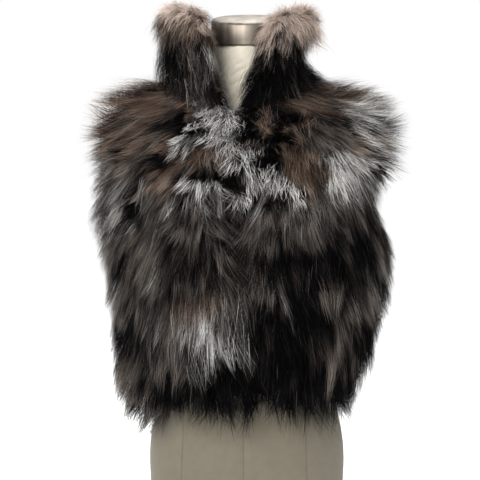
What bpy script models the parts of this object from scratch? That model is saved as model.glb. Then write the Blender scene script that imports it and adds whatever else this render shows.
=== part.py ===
"""Fur vest with a tall stand collar, worn by a limbless dress form.

Metres, +Z up. The front faces -Y and the wearer's left is +X. The origin is the
middle of the form's flat foot. Every surface is a stack of rings, given by short
tables, with a smooth curve through each column of the table. A turn is an angle
round the body: 0 degrees is the centre front, 90 a side and 180 the centre back.
"""

from collections import namedtuple
import math

import bmesh
import bpy
import numpy as np

# Gaps between neighbouring pieces
SEAM_GAP = 0.0003
FORM_CLEARANCE = 0.0012

# Rings of the form, from its foot to the top of its neck
Ring = namedtuple("Ring", "z_front z_side z_back half_width front back")
FORM_RINGS = (
    Ring(0.000, 0.000, 0.000, 0.1500, 0.1020, 0.1150),
    Ring(0.012, 0.012, 0.012, 0.1565, 0.1060, 0.1210),
    Ring(0.065, 0.065, 0.065, 0.1630, 0.1100, 0.1290),
    Ring(0.125, 0.125, 0.125, 0.1655, 0.1120, 0.1310),
    Ring(0.225, 0.225, 0.225, 0.1490, 0.1080, 0.1130),
    Ring(0.345, 0.345, 0.345, 0.1210, 0.0920, 0.0850),
    Ring(0.430, 0.430, 0.430, 0.1320, 0.1060, 0.0920),
    Ring(0.525, 0.520, 0.525, 0.1560, 0.1280, 0.1050),
    Ring(0.600, 0.590, 0.605, 0.1660, 0.1130, 0.1080),
    Ring(0.655, 0.650, 0.668, 0.1760, 0.0930, 0.1020),
    Ring(0.672, 0.680, 0.690, 0.1640, 0.0830, 0.0940),
    Ring(0.690, 0.704, 0.712, 0.1200, 0.0690, 0.0800),
    Ring(0.720, 0.734, 0.738, 0.0660, 0.0570, 0.0620),
    Ring(0.750, 0.764, 0.774, 0.0575, 0.0570, 0.0560),
    Ring(0.812, 0.822, 0.832, 0.0565, 0.0570, 0.0550),
)
FORM_ROWS = 38
FORM_COLUMNS = 48
NECK_BASE, MID_SHOULDER, SHOULDER_TIP = 12, 11, 10

# Metal cap on the neck: rise above the neck and width as a share of the neck's
CapRing = namedtuple("CapRing", "rise width")
CAP_RINGS = (
    CapRing(SEAM_GAP, 1.00),
    CapRing(0.0020, 1.05),
    CapRing(0.0320, 1.05),
    CapRing(0.0350, 1.02),
    CapRing(0.0365, 0.95),
    CapRing(0.0395, 0.50),
)

# Rings of the vest's skin side, from the shoulders down to the hem. The pile is the
# depth of the fur there and the lay is how far its tips lie down the slope
VestRing = namedtuple("VestRing", "z_front z_side z_back half_width front back pile lay")
Worn = namedtuple("Worn", "form_ring pile lay")
SHOULDER = (
    Worn(NECK_BASE, 0.026, 0.000),
    Worn(MID_SHOULDER, 0.046, 0.016),
    Worn(SHOULDER_TIP, 0.050, 0.036),
)
BODY_RINGS = (
    VestRing(0.625, 0.634, 0.640, 0.2060, 0.1180, 0.1140, 0.049, 0.034),
    VestRing(0.535, 0.535, 0.540, 0.1880, 0.1400, 0.1210, 0.054, 0.032),
    VestRing(0.450, 0.445, 0.450, 0.1780, 0.1430, 0.1230, 0.053, 0.030),
    VestRing(0.365, 0.352, 0.350, 0.1680, 0.1380, 0.1210, 0.052, 0.030),
    VestRing(0.302, 0.282, 0.272, 0.1610, 0.1300, 0.1230, 0.044, 0.030),
    VestRing(0.268, 0.228, 0.216, 0.1560, 0.1240, 0.1260, 0.034, 0.030),
)
UNDERARM_RING = 4
HEM_SWAY = 0.009
HemRow = namedtuple("HemRow", "pile lay drop")
HEM_ROUNDING = (HemRow(0.35, 0.45, 0.008), HemRow(0.75, 0.95, 0.010))

# Rows and columns of the panels
COLLAR_FOOT = 0.022
COLLAR_FOOT_EASE = 0.025
FOOT_ROWS = 4
SHOULDER_ROWS = 5
ARMHOLE_ROWS = 11
BODY_ROWS = 15
FRONT_COLUMNS = 13
BACK_COLUMNS = 29

# Armholes, whose edges stand out to the sides, and the line where the fronts meet
ARMHOLE_TOP = 0.012
ARMHOLE_BELOW_UNDERARM = 0.010
ARMHOLE_HALF_TURN = 30.0
ARMHOLE_EDGE_OUT = 0.85
ARMHOLE_EDGE_TURN = 32.0
MEETING_TURN_TOP = -5.0
MEETING_TURN_HEM = 3.0
NECK_NOTCH_TURN = {1: 5.0, -1: 21.0}
NECK_NOTCH_DEPTH = 0.040

# Thick tufts where plates of fur stand out of the surface
Tuft = namedtuple("Tuft", "turn z radius rise")
TUFTS = (
    Tuft(-88.0, 0.672, 0.042, 0.040),
    Tuft(-84.0, 0.640, 0.060, 0.020),
    Tuft(-64.0, 0.572, 0.060, 0.040),
    Tuft(-30.0, 0.560, 0.065, 0.016),
    Tuft(-26.0, 0.345, 0.060, 0.016),
    Tuft(-70.0, 0.420, 0.055, 0.010),
    Tuft(-80.0, 0.262, 0.060, 0.024),
    Tuft(13.0, 0.610, 0.050, 0.016),
    Tuft(88.0, 0.680, 0.042, 0.032),
    Tuft(80.0, 0.620, 0.060, 0.016),
    Tuft(38.0, 0.480, 0.060, 0.012),
    Tuft(84.0, 0.420, 0.075, 0.014),
    Tuft(40.0, 0.320, 0.060, 0.014),
    Tuft(150.0, 0.590, 0.070, 0.014),
    Tuft(205.0, 0.540, 0.070, 0.014),
    Tuft(165.0, 0.420, 0.065, 0.014),
    Tuft(225.0, 0.360, 0.065, 0.014),
    Tuft(140.0, 0.300, 0.060, 0.014),
    Tuft(190.0, 0.260, 0.060, 0.012),
)
TUFT_SQUASH_BELOW = 1.7
GIRTH_RADIUS = 0.19

# Horizontal seams between rows of plates: the pile swells down to each and drops below it
Tier = namedtuple("Tier", "z height swell")
TIERS = (
    Tier(0.600, 0.090, 0.009),
    Tier(0.475, 0.110, 0.011),
    Tier(0.330, 0.110, 0.011),
)
TIER_WAVE = 0.026
TIER_WAVES_ROUND = 5
TIER_DROP = 0.050

# Collar: height of its crest, and its section as the distance out from the middle of its
# foot, at shares of the way up to the crest
CREST_FRONT, CREST_SIDE, CREST_BACK = 0.878, 0.880, 0.836
CollarPoint = namedtuple("CollarPoint", "up out")
COLLAR_SECTION = (
    CollarPoint(0.14, 0.019),
    CollarPoint(0.30, 0.016),
    CollarPoint(0.48, 0.018),
    CollarPoint(0.66, 0.028),
    CollarPoint(0.82, 0.030),
    CollarPoint(0.95, 0.020),
    CollarPoint(1.00, 0.003),
    CollarPoint(0.95, -0.013),
    CollarPoint(0.82, -0.022),
    CollarPoint(0.60, -0.025),
    CollarPoint(0.36, -0.023),
    CollarPoint(0.14, -0.019),
)
CollarHalf = namedtuple("CollarHalf", "name side opens_turn shift thickness waist")
COLLAR_HALVES = (
    CollarHalf("left", 1, 24.0, -0.004, 0.95, 0.018),
    CollarHalf("right", -1, 5.0, 0.024, 1.08, 0.0),
)
COLLAR_SHIFT_RISE = 0.16
COLLAR_WAIST_BOTTOM, COLLAR_WAIST_TOP, COLLAR_WAIST_EASE = 0.25, 0.78, 0.30
COLLAR_ALIKE_TURN = 110.0
COLLAR_END_PINCH = 0.45
COLLAR_END_STATIONS = 3

# Materials, and the angle above which a mesh edge is shaded as a corner
Finish = namedtuple("Finish", "name colour roughness metallic")
FUR = Finish("fur", (0.055, 0.047, 0.043), 0.70, 0.0)
COLLAR_FUR = Finish("collar_fur", (0.130, 0.105, 0.092), 0.70, 0.0)
LINEN = Finish("linen", (0.400, 0.365, 0.290), 0.85, 0.0)
CAP_METAL = Finish("cap_metal", (0.560, 0.520, 0.450), 0.35, 0.9)
CORNER_ANGLE = math.radians(50)


def smooth_through(knots, values, at):
    """Values at the places `at` of a smooth curve through the knots that never overshoots."""
    knots, values = np.asarray(knots, float), np.asarray(values, float)
    step = np.diff(knots)
    slope = np.diff(values) / step
    tangent = np.zeros_like(values)
    tangent[0], tangent[-1] = slope[0], slope[-1]
    for i in range(1, len(values) - 1):
        if slope[i - 1] * slope[i] > 0:
            near, far = 2 * step[i] + step[i - 1], step[i] + 2 * step[i - 1]
            tangent[i] = (near + far) / (near / slope[i - 1] + far / slope[i])
    at = np.clip(np.asarray(at, float), knots[0], knots[-1])
    i = np.clip(np.searchsorted(knots, at, side="right") - 1, 0, len(step) - 1)
    s = (at - knots[i]) / step[i]
    rise, settle = s * s * (3 - 2 * s), s * (1 - s)
    start, end = values[i], values[i + 1]
    bend = step[i] * settle * (tangent[i] * (1 - s) - tangent[i + 1] * s)
    return start + (end - start) * rise + bend


def smooth_step(x):
    """0 below 0, 1 above 1 and an easy rise between."""
    x = np.clip(x, 0.0, 1.0)
    return x * x * (3 - 2 * x)


def around(z_front, z_side, z_back, half_width, front, back, turn):
    """Points of a ring at the turns given in degrees. All columns may be arrays."""
    angle = np.radians(turn)
    ahead = np.cos(angle)
    lean, dip = (z_front - z_back) / 2, (z_front + z_back) / 2 - z_side
    depth = np.where(ahead > 0, front, back)
    z = z_side + lean * ahead + dip * ahead**2
    return np.stack([half_width * np.sin(angle), -depth * ahead, z], axis=-1)


class RingStack:
    """A surface through a stack of rings. Its run is the mean length along it, in metres."""

    def __init__(self, rings):
        self.columns = {name: [getattr(ring, name) for ring in rings] for name in rings[0]._fields}
        turns = np.array([0.0, 90.0, 180.0])
        shape = np.array([around(*ring[:len(Ring._fields)], turns) for ring in rings])
        steps = np.linalg.norm(np.diff(shape, axis=0), axis=2).mean(axis=1)
        self.knots = np.concatenate([[0.0], np.cumsum(steps)])

    def column(self, name, run):
        """One column of the table at these runs."""
        return smooth_through(self.knots, self.columns[name], run)

    def points(self, run, turn):
        """Points at these runs and turns."""
        return around(*(self.column(name, run) for name in Ring._fields), turn)

    def frame(self, run, turn):
        """Points with the outward normal and the downward direction there."""
        small_run, small_turn = 0.002, 0.5
        down = self.points(run + small_run, turn) - self.points(run - small_run, turn)
        round_it = self.points(run, turn + small_turn) - self.points(run, turn - small_turn)
        normal = unit(np.cross(down, round_it))
        return self.points(run, turn), normal, unit(down)


def unit(vectors):
    """The vectors with length one."""
    return vectors / np.linalg.norm(vectors, axis=-1, keepdims=True)


def vest_stack():
    """The vest's rings from the neckline to the hem, resting on the form at the shoulders."""
    shoulder = []
    for worn in SHOULDER:
        away = [value + FORM_CLEARANCE for value in FORM_RINGS[worn.form_ring]]
        shoulder.append(VestRing(*away, worn.pile, worn.lay))
    return RingStack((*shoulder, *BODY_RINGS))


def turn_apart(a, b):
    """The angle in degrees between two turns, from 0 to 180."""
    return np.abs((a - b + 180.0) % 360.0 - 180.0)


def tuft_rise(turn, z):
    """How far the tufts lift the pile."""
    rise = np.zeros_like(z)
    for tuft in TUFTS:
        across = np.radians(turn_apart(turn, tuft.turn)) * GIRTH_RADIUS
        along = z - tuft.z
        along = np.where(along < 0, along * TUFT_SQUASH_BELOW, along)
        rise = np.maximum(rise, tuft.rise * np.exp(-(across**2 + along**2) / tuft.radius**2))
    return rise


def tier_rise(turn, z):
    """How far the rows of plates swell above their seams."""
    rise = np.zeros_like(z)
    for count, tier in enumerate(TIERS):
        wave = TIER_WAVE * np.sin(np.radians(TIER_WAVES_ROUND * turn) + 2 * count)
        above = z - tier.z - wave
        swell = smooth_step(1 - above / tier.height) * smooth_step(1 + above / TIER_DROP)
        rise = np.maximum(rise, tier.swell * swell)
    return rise


def panel_runs(stack):
    """Runs of a panel's rows, from the neckline to the hem, and the armhole's two ends."""
    tip, underarm = stack.knots[2], stack.knots[UNDERARM_RING]
    top, bottom = tip + ARMHOLE_TOP, underarm + ARMHOLE_BELOW_UNDERARM
    foot = np.linspace(0, COLLAR_FOOT, FOOT_ROWS)
    shoulder = np.linspace(COLLAR_FOOT, top, SHOULDER_ROWS + 1)[1:]
    across = 0.5 - 0.5 * np.cos(np.linspace(0, math.pi, ARMHOLE_ROWS))
    armhole = top + (bottom - top) * across[1:]
    body = np.linspace(bottom, stack.knots[-1], BODY_ROWS)[1:]
    return np.concatenate([foot, shoulder, armhole, body]), (top, bottom)


def armhole_turn(runs, ends):
    """Half the armhole's width in degrees at these runs, 0 above and below it."""
    middle, half = sum(ends) / 2, (ends[1] - ends[0]) / 2
    inside = np.clip(1 - ((runs - middle) / half) ** 2, 0, None)
    return ARMHOLE_HALF_TURN * np.sqrt(inside)


class Panel:
    """A panel's skin side and pile side as grids of points, rows from neckline to hem."""

    def __init__(self, stack, runs, ends, turns):
        run = np.repeat(runs[:, None], turns.shape[1], axis=1)
        self.inner, self.normal, self.down = stack.frame(run, turns)
        z = self.inner[..., 2].copy()
        side = np.sin(np.radians(turns))
        self.inner[..., 2] += HEM_SWAY * side * (run / runs[-1]) ** 2
        # The collar stands on plain pile, and the tufts begin beyond its foot
        free = smooth_step((run - COLLAR_FOOT) / COLLAR_FOOT_EASE)
        relief = tuft_rise(turns, z) + tier_rise(turns, z)
        pile = stack.column("pile", run) + free * relief
        self.lay = stack.column("lay", run)
        # Beside the armhole the hair leans from the surface's normal towards the side
        near_side = np.minimum(turn_apart(turns, 90.0), turn_apart(turns, -90.0))
        opening = armhole_turn(run, ends)
        lean = ARMHOLE_EDGE_OUT * smooth_step(1 - (near_side - opening) / ARMHOLE_EDGE_TURN)
        lean *= (opening / ARMHOLE_HALF_TURN) ** 2
        sideways = np.stack([np.sign(side), 0 * side, 0 * side], axis=-1)
        out = self.normal + (sideways - self.normal) * lean[..., None]
        self.stand = unit(out) * pile[..., None]
        self.outer = self.inner + self.stand + self.down * self.lay[..., None]

    def move_edge(self, column, shift):
        """Moves one edge of the panel, so that a seam gap is left to its neighbour."""
        for grid in (self.inner, self.outer):
            grid[:, column] += shift

    def hem_rows(self):
        """Rows of points that round the hem between the skin side and the pile side."""
        inner, stand, down, lay = self.inner[-1], self.stand[-1], self.down[-1], self.lay[-1]
        rows = []
        for row in HEM_ROUNDING:
            fall = lay[:, None] * row.lay + row.drop
            rows.append(inner + stand * row.pile + down * fall)
        return rows

    def loops(self):
        """Closed loops of points, one for each column, down the skin side and up the pile side."""
        strip = [*self.inner, *self.hem_rows(), *self.outer[::-1]]
        return np.array(strip).transpose(1, 0, 2)


def front_panel(stack, side):
    """One front, from where the fronts meet to the side. Side is 1 for the wearer's left."""
    runs, ends = panel_runs(stack)
    meeting = MEETING_TURN_TOP + (MEETING_TURN_HEM - MEETING_TURN_TOP) * runs / runs[-1]
    notch = NECK_NOTCH_TURN[side] * np.clip(1 - runs / NECK_NOTCH_DEPTH, 0, None)
    start = meeting + side * notch
    end = side * (90.0 - armhole_turn(runs, ends))
    share = np.linspace(0, 1, FRONT_COLUMNS)
    panel = Panel(stack, runs, ends, start[:, None] + (end - start)[:, None] * share)
    panel.move_edge(0, (side * SEAM_GAP / 2, 0, 0))
    panel.move_edge(-1, (0, -SEAM_GAP / 2, 0))
    return panel


def back_panel(stack):
    """The back, from the wearer's left side to the right."""
    runs, ends = panel_runs(stack)
    start = 90.0 + armhole_turn(runs, ends)
    share = np.linspace(0, 1, BACK_COLUMNS)
    panel = Panel(stack, runs, ends, start[:, None] + (360.0 - 2 * start)[:, None] * share)
    for edge in (0, -1):
        panel.move_edge(edge, (0, SEAM_GAP / 2, 0))
    return panel


def turned(points, degrees):
    """Points turned about the vertical axis of the neck, away from the centre front."""
    c, s = np.cos(np.radians(degrees)), np.sin(np.radians(degrees))
    x, y, z = points[..., 0], points[..., 1], points[..., 2]
    return np.stack([x * c - y * s, x * s + y * c, z], axis=-1)


def collar_feet(front, back, side):
    """Grid of the points that half a collar stands on, from the centre front to the centre back."""
    rows = slice(0, FOOT_ROWS)
    middle = BACK_COLUMNS // 2
    columns = range(1, middle + 1) if side > 0 else range(BACK_COLUMNS - 2, middle - 1, -1)
    grids = []
    for panel, picked in ((front, range(FRONT_COLUMNS)), (back, columns)):
        foot = panel.outer[rows] + panel.normal[rows] * SEAM_GAP
        grids.append(foot[:, list(picked)])
    feet = np.concatenate(grids, axis=1)
    feet[:, -1, 0] = side * SEAM_GAP / 2
    return feet


def collar_waist(up, turn):
    """How much the stem of the collar is drawn in under its roll: most at the side of the neck."""
    low = smooth_step(up / COLLAR_WAIST_BOTTOM)
    high = smooth_step((COLLAR_WAIST_TOP - up) / COLLAR_WAIST_EASE)
    return low * high * math.sin(math.radians(turn)) ** 2


def collar_loops(feet, half):
    """Sections of half a collar as closed loops of points, one for each station."""
    stations = feet.shape[1]
    turns = np.concatenate([
        np.linspace(0, 90, FRONT_COLUMNS),
        np.linspace(90, 180, stations - FRONT_COLUMNS + 1)[1:],
    ])
    crest = around(CREST_FRONT, CREST_SIDE, CREST_BACK, 1, 1, 1, turns)[:, 2]
    loops = []
    for i, turn in enumerate(turns):
        middle = feet[:, i].mean(axis=0)
        outward = unit(middle * (1, 1, 0))
        own = smooth_step((180.0 - turn) / COLLAR_ALIKE_TURN)
        thickness = 1 + (half.thickness - 1) * own
        opening = half.opens_turn * smooth_step(1 - turn / 90.0)
        to_end = np.clip(1 - i / COLLAR_END_STATIONS, 0, 1)
        keep = 1 - COLLAR_END_PINCH * to_end**2
        wall = []
        for point in COLLAR_SECTION:
            up = point.up * (1 - (1 - keep) / 4)
            shift = half.shift * own * smooth_step(up / COLLAR_SHIFT_RISE)
            shift -= half.waist * own * collar_waist(up, turn)
            place = middle + outward * (point.out * thickness * keep + shift)
            place[2] += up * (crest[i] - middle[2])
            wall.append(turned(place, half.side * opening * up))
        loops.append([*feet[:, i], *wall])
    return np.array(loops)


def ring_loops(stack, runs, columns):
    """Closed rings of points of a stack at these runs."""
    turns = np.linspace(0, 360, columns, endpoint=False)
    return np.array([stack.points(np.full(columns, run), turns) for run in runs])


def material(finish):
    """A Principled material with the values of a finish."""
    made = bpy.data.materials.new(finish.name)
    made.use_nodes = True
    made.diffuse_color = (*finish.colour, 1.0)
    shader = made.node_tree.nodes["Principled BSDF"]
    shader.inputs["Base Color"].default_value = (*finish.colour, 1.0)
    shader.inputs["Roughness"].default_value = finish.roughness
    shader.inputs["Metallic"].default_value = finish.metallic
    return made


def solid_from_loops(name, loops, surface, parent, end_strips=False):
    """A closed solid bridged through closed loops of points.

    Each end is filled by one face, or by a strip across the loop where the loop runs down
    one side of a wall and up the other.
    """
    bm = bmesh.new()
    rings = [[bm.verts.new(point) for point in loop] for loop in loops]
    count = len(rings[0])
    for low, high in zip(rings, rings[1:]):
        for i in range(count):
            j = (i + 1) % count
            bm.faces.new((low[i], low[j], high[j], high[i]))
    for ring in (rings[0], rings[-1]):
        if not end_strips:
            bm.faces.new(ring)
            continue
        for i in range((count - 1) // 2):
            j = count - 1 - i
            corners = (ring[i], ring[i + 1], ring[j - 1], ring[j])
            bm.faces.new(list(dict.fromkeys(corners)))
    bmesh.ops.recalc_face_normals(bm, faces=bm.faces)
    bmesh.ops.triangulate(bm, faces=bm.faces)
    mesh = bpy.data.meshes.new(name)
    bm.to_mesh(mesh)
    bm.free()
    mesh.shade_smooth()
    mesh.set_sharp_from_angle(angle=CORNER_ANGLE)
    mesh.materials.append(surface)
    made = bpy.data.objects.new(name, mesh)
    made.parent = parent
    bpy.context.scene.collection.objects.link(made)
    return made


def build_form(parent):
    """The dress form and the cap on its neck."""
    stack = RingStack(FORM_RINGS)
    runs = np.linspace(0, stack.knots[-1], FORM_ROWS)
    body = ring_loops(stack, runs, FORM_COLUMNS)
    solid_from_loops("form_torso", body, material(LINEN), parent)
    neck = body[-1]
    centre = neck.mean(axis=0)
    cap = []
    for ring in CAP_RINGS:
        loop = centre + (neck - centre) * ring.width
        cap.append(loop + np.array([0, 0, ring.rise]))
    solid_from_loops("form_neck_cap", cap, material(CAP_METAL), parent)


def build_vest(parent):
    """The two fronts, the back and the two halves of the collar."""
    stack = vest_stack()
    fur, collar_fur = material(FUR), material(COLLAR_FUR)
    back = back_panel(stack)
    solid_from_loops("back", back.loops(), fur, parent, end_strips=True)
    for half in COLLAR_HALVES:
        front = front_panel(stack, half.side)
        solid_from_loops(f"front_{half.name}", front.loops(), fur, parent, end_strips=True)
        feet = collar_feet(front, back, half.side)
        solid_from_loops(f"collar_{half.name}", collar_loops(feet, half), collar_fur, parent)


def main():
    """Clears the scene and builds the part."""
    for old in list(bpy.data.objects):
        bpy.data.objects.remove(old)
    parent = bpy.data.objects.new("vest_on_form", None)
    bpy.context.scene.collection.objects.link(parent)
    build_form(parent)
    build_vest(parent)


main()
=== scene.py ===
"""Looks of a fur vest with a tall stand collar, on the limbless dress form that carries it.

Metres, +Z up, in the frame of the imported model: the front faces -Y, the wearer's left is +X, and
the form's flat foot lies at z = 0. Each fur node is replaced by a thin pelt on its skin side, and
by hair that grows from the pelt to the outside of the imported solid. The hair is laid out in plates,
as a maker pieces such a vest, and each plate has its own colour and its own combing.
"""

import logging
import math
from dataclasses import dataclass, field
from enum import Enum
from typing import Sequence

import bpy
import numpy as np
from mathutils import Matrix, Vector
from mathutils.bvhtree import BVHTree
from mathutils.kdtree import KDTree


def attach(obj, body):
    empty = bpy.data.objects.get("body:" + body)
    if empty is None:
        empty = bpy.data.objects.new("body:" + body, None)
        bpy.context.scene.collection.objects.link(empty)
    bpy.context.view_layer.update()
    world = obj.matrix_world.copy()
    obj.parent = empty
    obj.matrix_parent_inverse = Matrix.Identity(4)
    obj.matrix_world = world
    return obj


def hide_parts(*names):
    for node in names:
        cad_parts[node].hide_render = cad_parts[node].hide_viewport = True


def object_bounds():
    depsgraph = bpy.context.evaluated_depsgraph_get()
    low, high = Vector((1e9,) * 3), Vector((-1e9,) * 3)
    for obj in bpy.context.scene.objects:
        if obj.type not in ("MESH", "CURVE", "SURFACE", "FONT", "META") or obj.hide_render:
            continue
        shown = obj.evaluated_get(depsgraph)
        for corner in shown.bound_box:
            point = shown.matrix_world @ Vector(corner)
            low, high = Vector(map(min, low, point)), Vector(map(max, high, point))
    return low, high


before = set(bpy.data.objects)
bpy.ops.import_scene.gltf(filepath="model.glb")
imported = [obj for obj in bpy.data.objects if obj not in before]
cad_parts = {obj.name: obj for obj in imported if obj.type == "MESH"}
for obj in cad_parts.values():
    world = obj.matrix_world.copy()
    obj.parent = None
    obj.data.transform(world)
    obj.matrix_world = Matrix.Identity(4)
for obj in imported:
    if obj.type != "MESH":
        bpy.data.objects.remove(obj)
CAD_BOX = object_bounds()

LOG = logging.getLogger("fur_vest")
BODY = "root"

# Maps and marks on the meshes that the materials read.
HAIR_MAP = "OFBake"
WEAVE_MAP = "weave"
SEAM_MARK = "seam"

SEED = 20

# Points nearer than the weld are one, and nothing is divided by less than the smallest.
WELD = 0.00001
SMALLEST = 1e-12

# Corners of a hair's three-sided section, in half widths to the side and up, and their change of shade.
HAIR_SECTION = ((1.0, -0.3), (0.0, 0.65), (-1.0, -0.3))
SIDE_SHADES = (-0.05, 0.0, 0.05)

Colour = tuple[float, float, float]
Array = np.ndarray
Socket = bpy.types.NodeSocket


class FurTone(Enum):
    """Natural colours of the hair, in the order of their bands on the hair's colour chart."""

    SILVER = 0
    WHITE = 1
    GREY = 2
    TAUPE = 3
    FAWN = 4
    BROWN = 5
    TAN = 6
    DARK = 7
    BLACK = 8
    STREAKED = 9


SILVER, WHITE, GREY, TAUPE, FAWN, BROWN, TAN, DARK, BLACK, STREAKED = FurTone
Mix = dict[FurTone, tuple[tuple[FurTone, float], ...]]


@dataclass(frozen=True)
class ToneStop:
    """Colours of a tone at one share of the way from root to tip, for its deepest and palest hair."""

    along: float
    deep: Colour
    pale: Colour


def grey(value: float) -> Colour:
    """Returns a neutral colour."""
    return (value, value, value)


HAIR_COLOURS: dict[FurTone, tuple[ToneStop, ...]] = {
    SILVER: (
        ToneStop(0.00, grey(0.006), grey(0.012)),
        ToneStop(0.36, grey(0.020), (0.080, 0.075, 0.070)),
        ToneStop(0.52, (0.160, 0.152, 0.144), (0.900, 0.872, 0.838)),
        ToneStop(0.84, (0.300, 0.288, 0.274), (1.000, 0.976, 0.944)),
        ToneStop(1.00, (0.090, 0.086, 0.082), (0.820, 0.796, 0.766)),
    ),
    WHITE: (
        ToneStop(0.00, grey(0.020), grey(0.040)),
        ToneStop(0.45, (0.180, 0.172, 0.165), (0.760, 0.744, 0.724)),
        ToneStop(1.00, (0.560, 0.548, 0.532), (1.000, 0.988, 0.970)),
    ),
    GREY: (
        ToneStop(0.00, grey(0.005), grey(0.010)),
        ToneStop(0.45, (0.018, 0.017, 0.015), (0.095, 0.089, 0.082)),
        ToneStop(0.80, (0.055, 0.051, 0.047), (0.310, 0.292, 0.272)),
        ToneStop(1.00, (0.015, 0.014, 0.013), (0.110, 0.103, 0.096)),
    ),
    TAUPE: (
        ToneStop(0.00, (0.006, 0.005, 0.004), (0.012, 0.010, 0.009)),
        ToneStop(0.45, (0.030, 0.024, 0.020), (0.100, 0.082, 0.069)),
        ToneStop(0.82, (0.060, 0.049, 0.042), (0.310, 0.262, 0.228)),
        ToneStop(1.00, (0.026, 0.022, 0.018), (0.170, 0.142, 0.122)),
    ),
    FAWN: (
        ToneStop(0.00, (0.080, 0.060, 0.050), (0.110, 0.086, 0.073)),
        ToneStop(0.40, (0.260, 0.197, 0.163), (0.430, 0.339, 0.285)),
        ToneStop(1.00, (0.510, 0.399, 0.335), (0.840, 0.694, 0.597)),
    ),
    BROWN: (
        ToneStop(0.00, (0.006, 0.004, 0.003), (0.012, 0.009, 0.007)),
        ToneStop(0.45, (0.028, 0.017, 0.012), (0.085, 0.054, 0.039)),
        ToneStop(0.85, (0.065, 0.041, 0.029), (0.220, 0.150, 0.112)),
        ToneStop(1.00, (0.040, 0.025, 0.018), (0.150, 0.100, 0.075)),
    ),
    TAN: (
        ToneStop(0.00, (0.010, 0.007, 0.005), (0.022, 0.016, 0.013)),
        ToneStop(0.45, (0.070, 0.048, 0.036), (0.180, 0.134, 0.102)),
        ToneStop(0.85, (0.170, 0.128, 0.100), (0.460, 0.376, 0.308)),
        ToneStop(1.00, (0.100, 0.074, 0.057), (0.300, 0.240, 0.192)),
    ),
    DARK: (
        ToneStop(0.00, grey(0.001), grey(0.003)),
        ToneStop(0.50, (0.005, 0.004, 0.004), (0.030, 0.025, 0.022)),
        ToneStop(0.85, (0.009, 0.007, 0.006), (0.100, 0.082, 0.073)),
        ToneStop(1.00, (0.005, 0.004, 0.004), (0.055, 0.045, 0.040)),
    ),
    BLACK: (
        ToneStop(0.00, grey(0.001), grey(0.002)),
        ToneStop(0.60, grey(0.001), (0.003, 0.003, 0.004)),
        ToneStop(1.00, grey(0.001), (0.007, 0.007, 0.008)),
    ),
    STREAKED: (
        ToneStop(0.00, grey(0.002), grey(0.004)),
        ToneStop(0.50, (0.008, 0.007, 0.007), (0.050, 0.046, 0.043)),
        ToneStop(0.85, (0.016, 0.015, 0.014), (0.190, 0.178, 0.168)),
        ToneStop(1.00, (0.008, 0.007, 0.007), (0.090, 0.084, 0.079)),
    ),
}

# Other tones that grow among a plate's own, and how much of each: as whole wisps, and as single hairs.
WISP_MIX: Mix = {
    SILVER: ((DARK, 0.10), (GREY, 0.12)),
    WHITE: ((SILVER, 0.30),),
    GREY: ((DARK, 0.22), (BLACK, 0.06), (TAUPE, 0.16)),
    TAUPE: ((DARK, 0.24), (BLACK, 0.08), (GREY, 0.14)),
    FAWN: ((TAUPE, 0.12),),
    BROWN: ((DARK, 0.24), (BLACK, 0.05), (TAN, 0.10)),
    TAN: ((BROWN, 0.25),),
    DARK: ((BLACK, 0.26), (TAUPE, 0.26)),
    BLACK: ((DARK, 0.05),),
    STREAKED: ((SILVER, 0.18), (BLACK, 0.25)),
}
HAIR_MIX: Mix = {
    SILVER: ((BLACK, 0.28), (WHITE, 0.18)),
    WHITE: ((DARK, 0.12), (SILVER, 0.25)),
    GREY: ((BLACK, 0.24), (SILVER, 0.12)),
    TAUPE: ((DARK, 0.26), (GREY, 0.10)),
    FAWN: ((TAUPE, 0.08),),
    BROWN: ((DARK, 0.25), (TAN, 0.08)),
    TAN: ((BROWN, 0.28),),
    DARK: ((BLACK, 0.30), (GREY, 0.05)),
    BLACK: ((DARK, 0.05), (GREY, 0.010)),
    STREAKED: ((SILVER, 0.18), (BLACK, 0.28)),
}


@dataclass(frozen=True)
class Plate:
    """One plate of fur, as seen from the front or from behind the vest.

    Attributes:
        x: middle across the vest.
        z: middle up the vest.
        half_width: half the width of the plate.
        half_height: half the height of the plate.
        tone: colour of its hair.
        comb: degrees that its hair turns from straight down, positive towards +X.
        fan: further degrees of turn at its +X edge, and as many the other way at its -X edge.
        sink: how much lower the coat lies at its middle, as in a crease, or higher if negative.
        short: whether its hair is short, with tips that aren't drawn together.
    """

    x: float
    z: float
    half_width: float
    half_height: float
    tone: FurTone
    comb: float = 0.0
    fan: float = 0.0
    sink: float = 0.0
    short: bool = False


# Depth of a common crease, and how far a raised plate commonly stands out.
CREASE = 0.015
PUFF = 0.014

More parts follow.
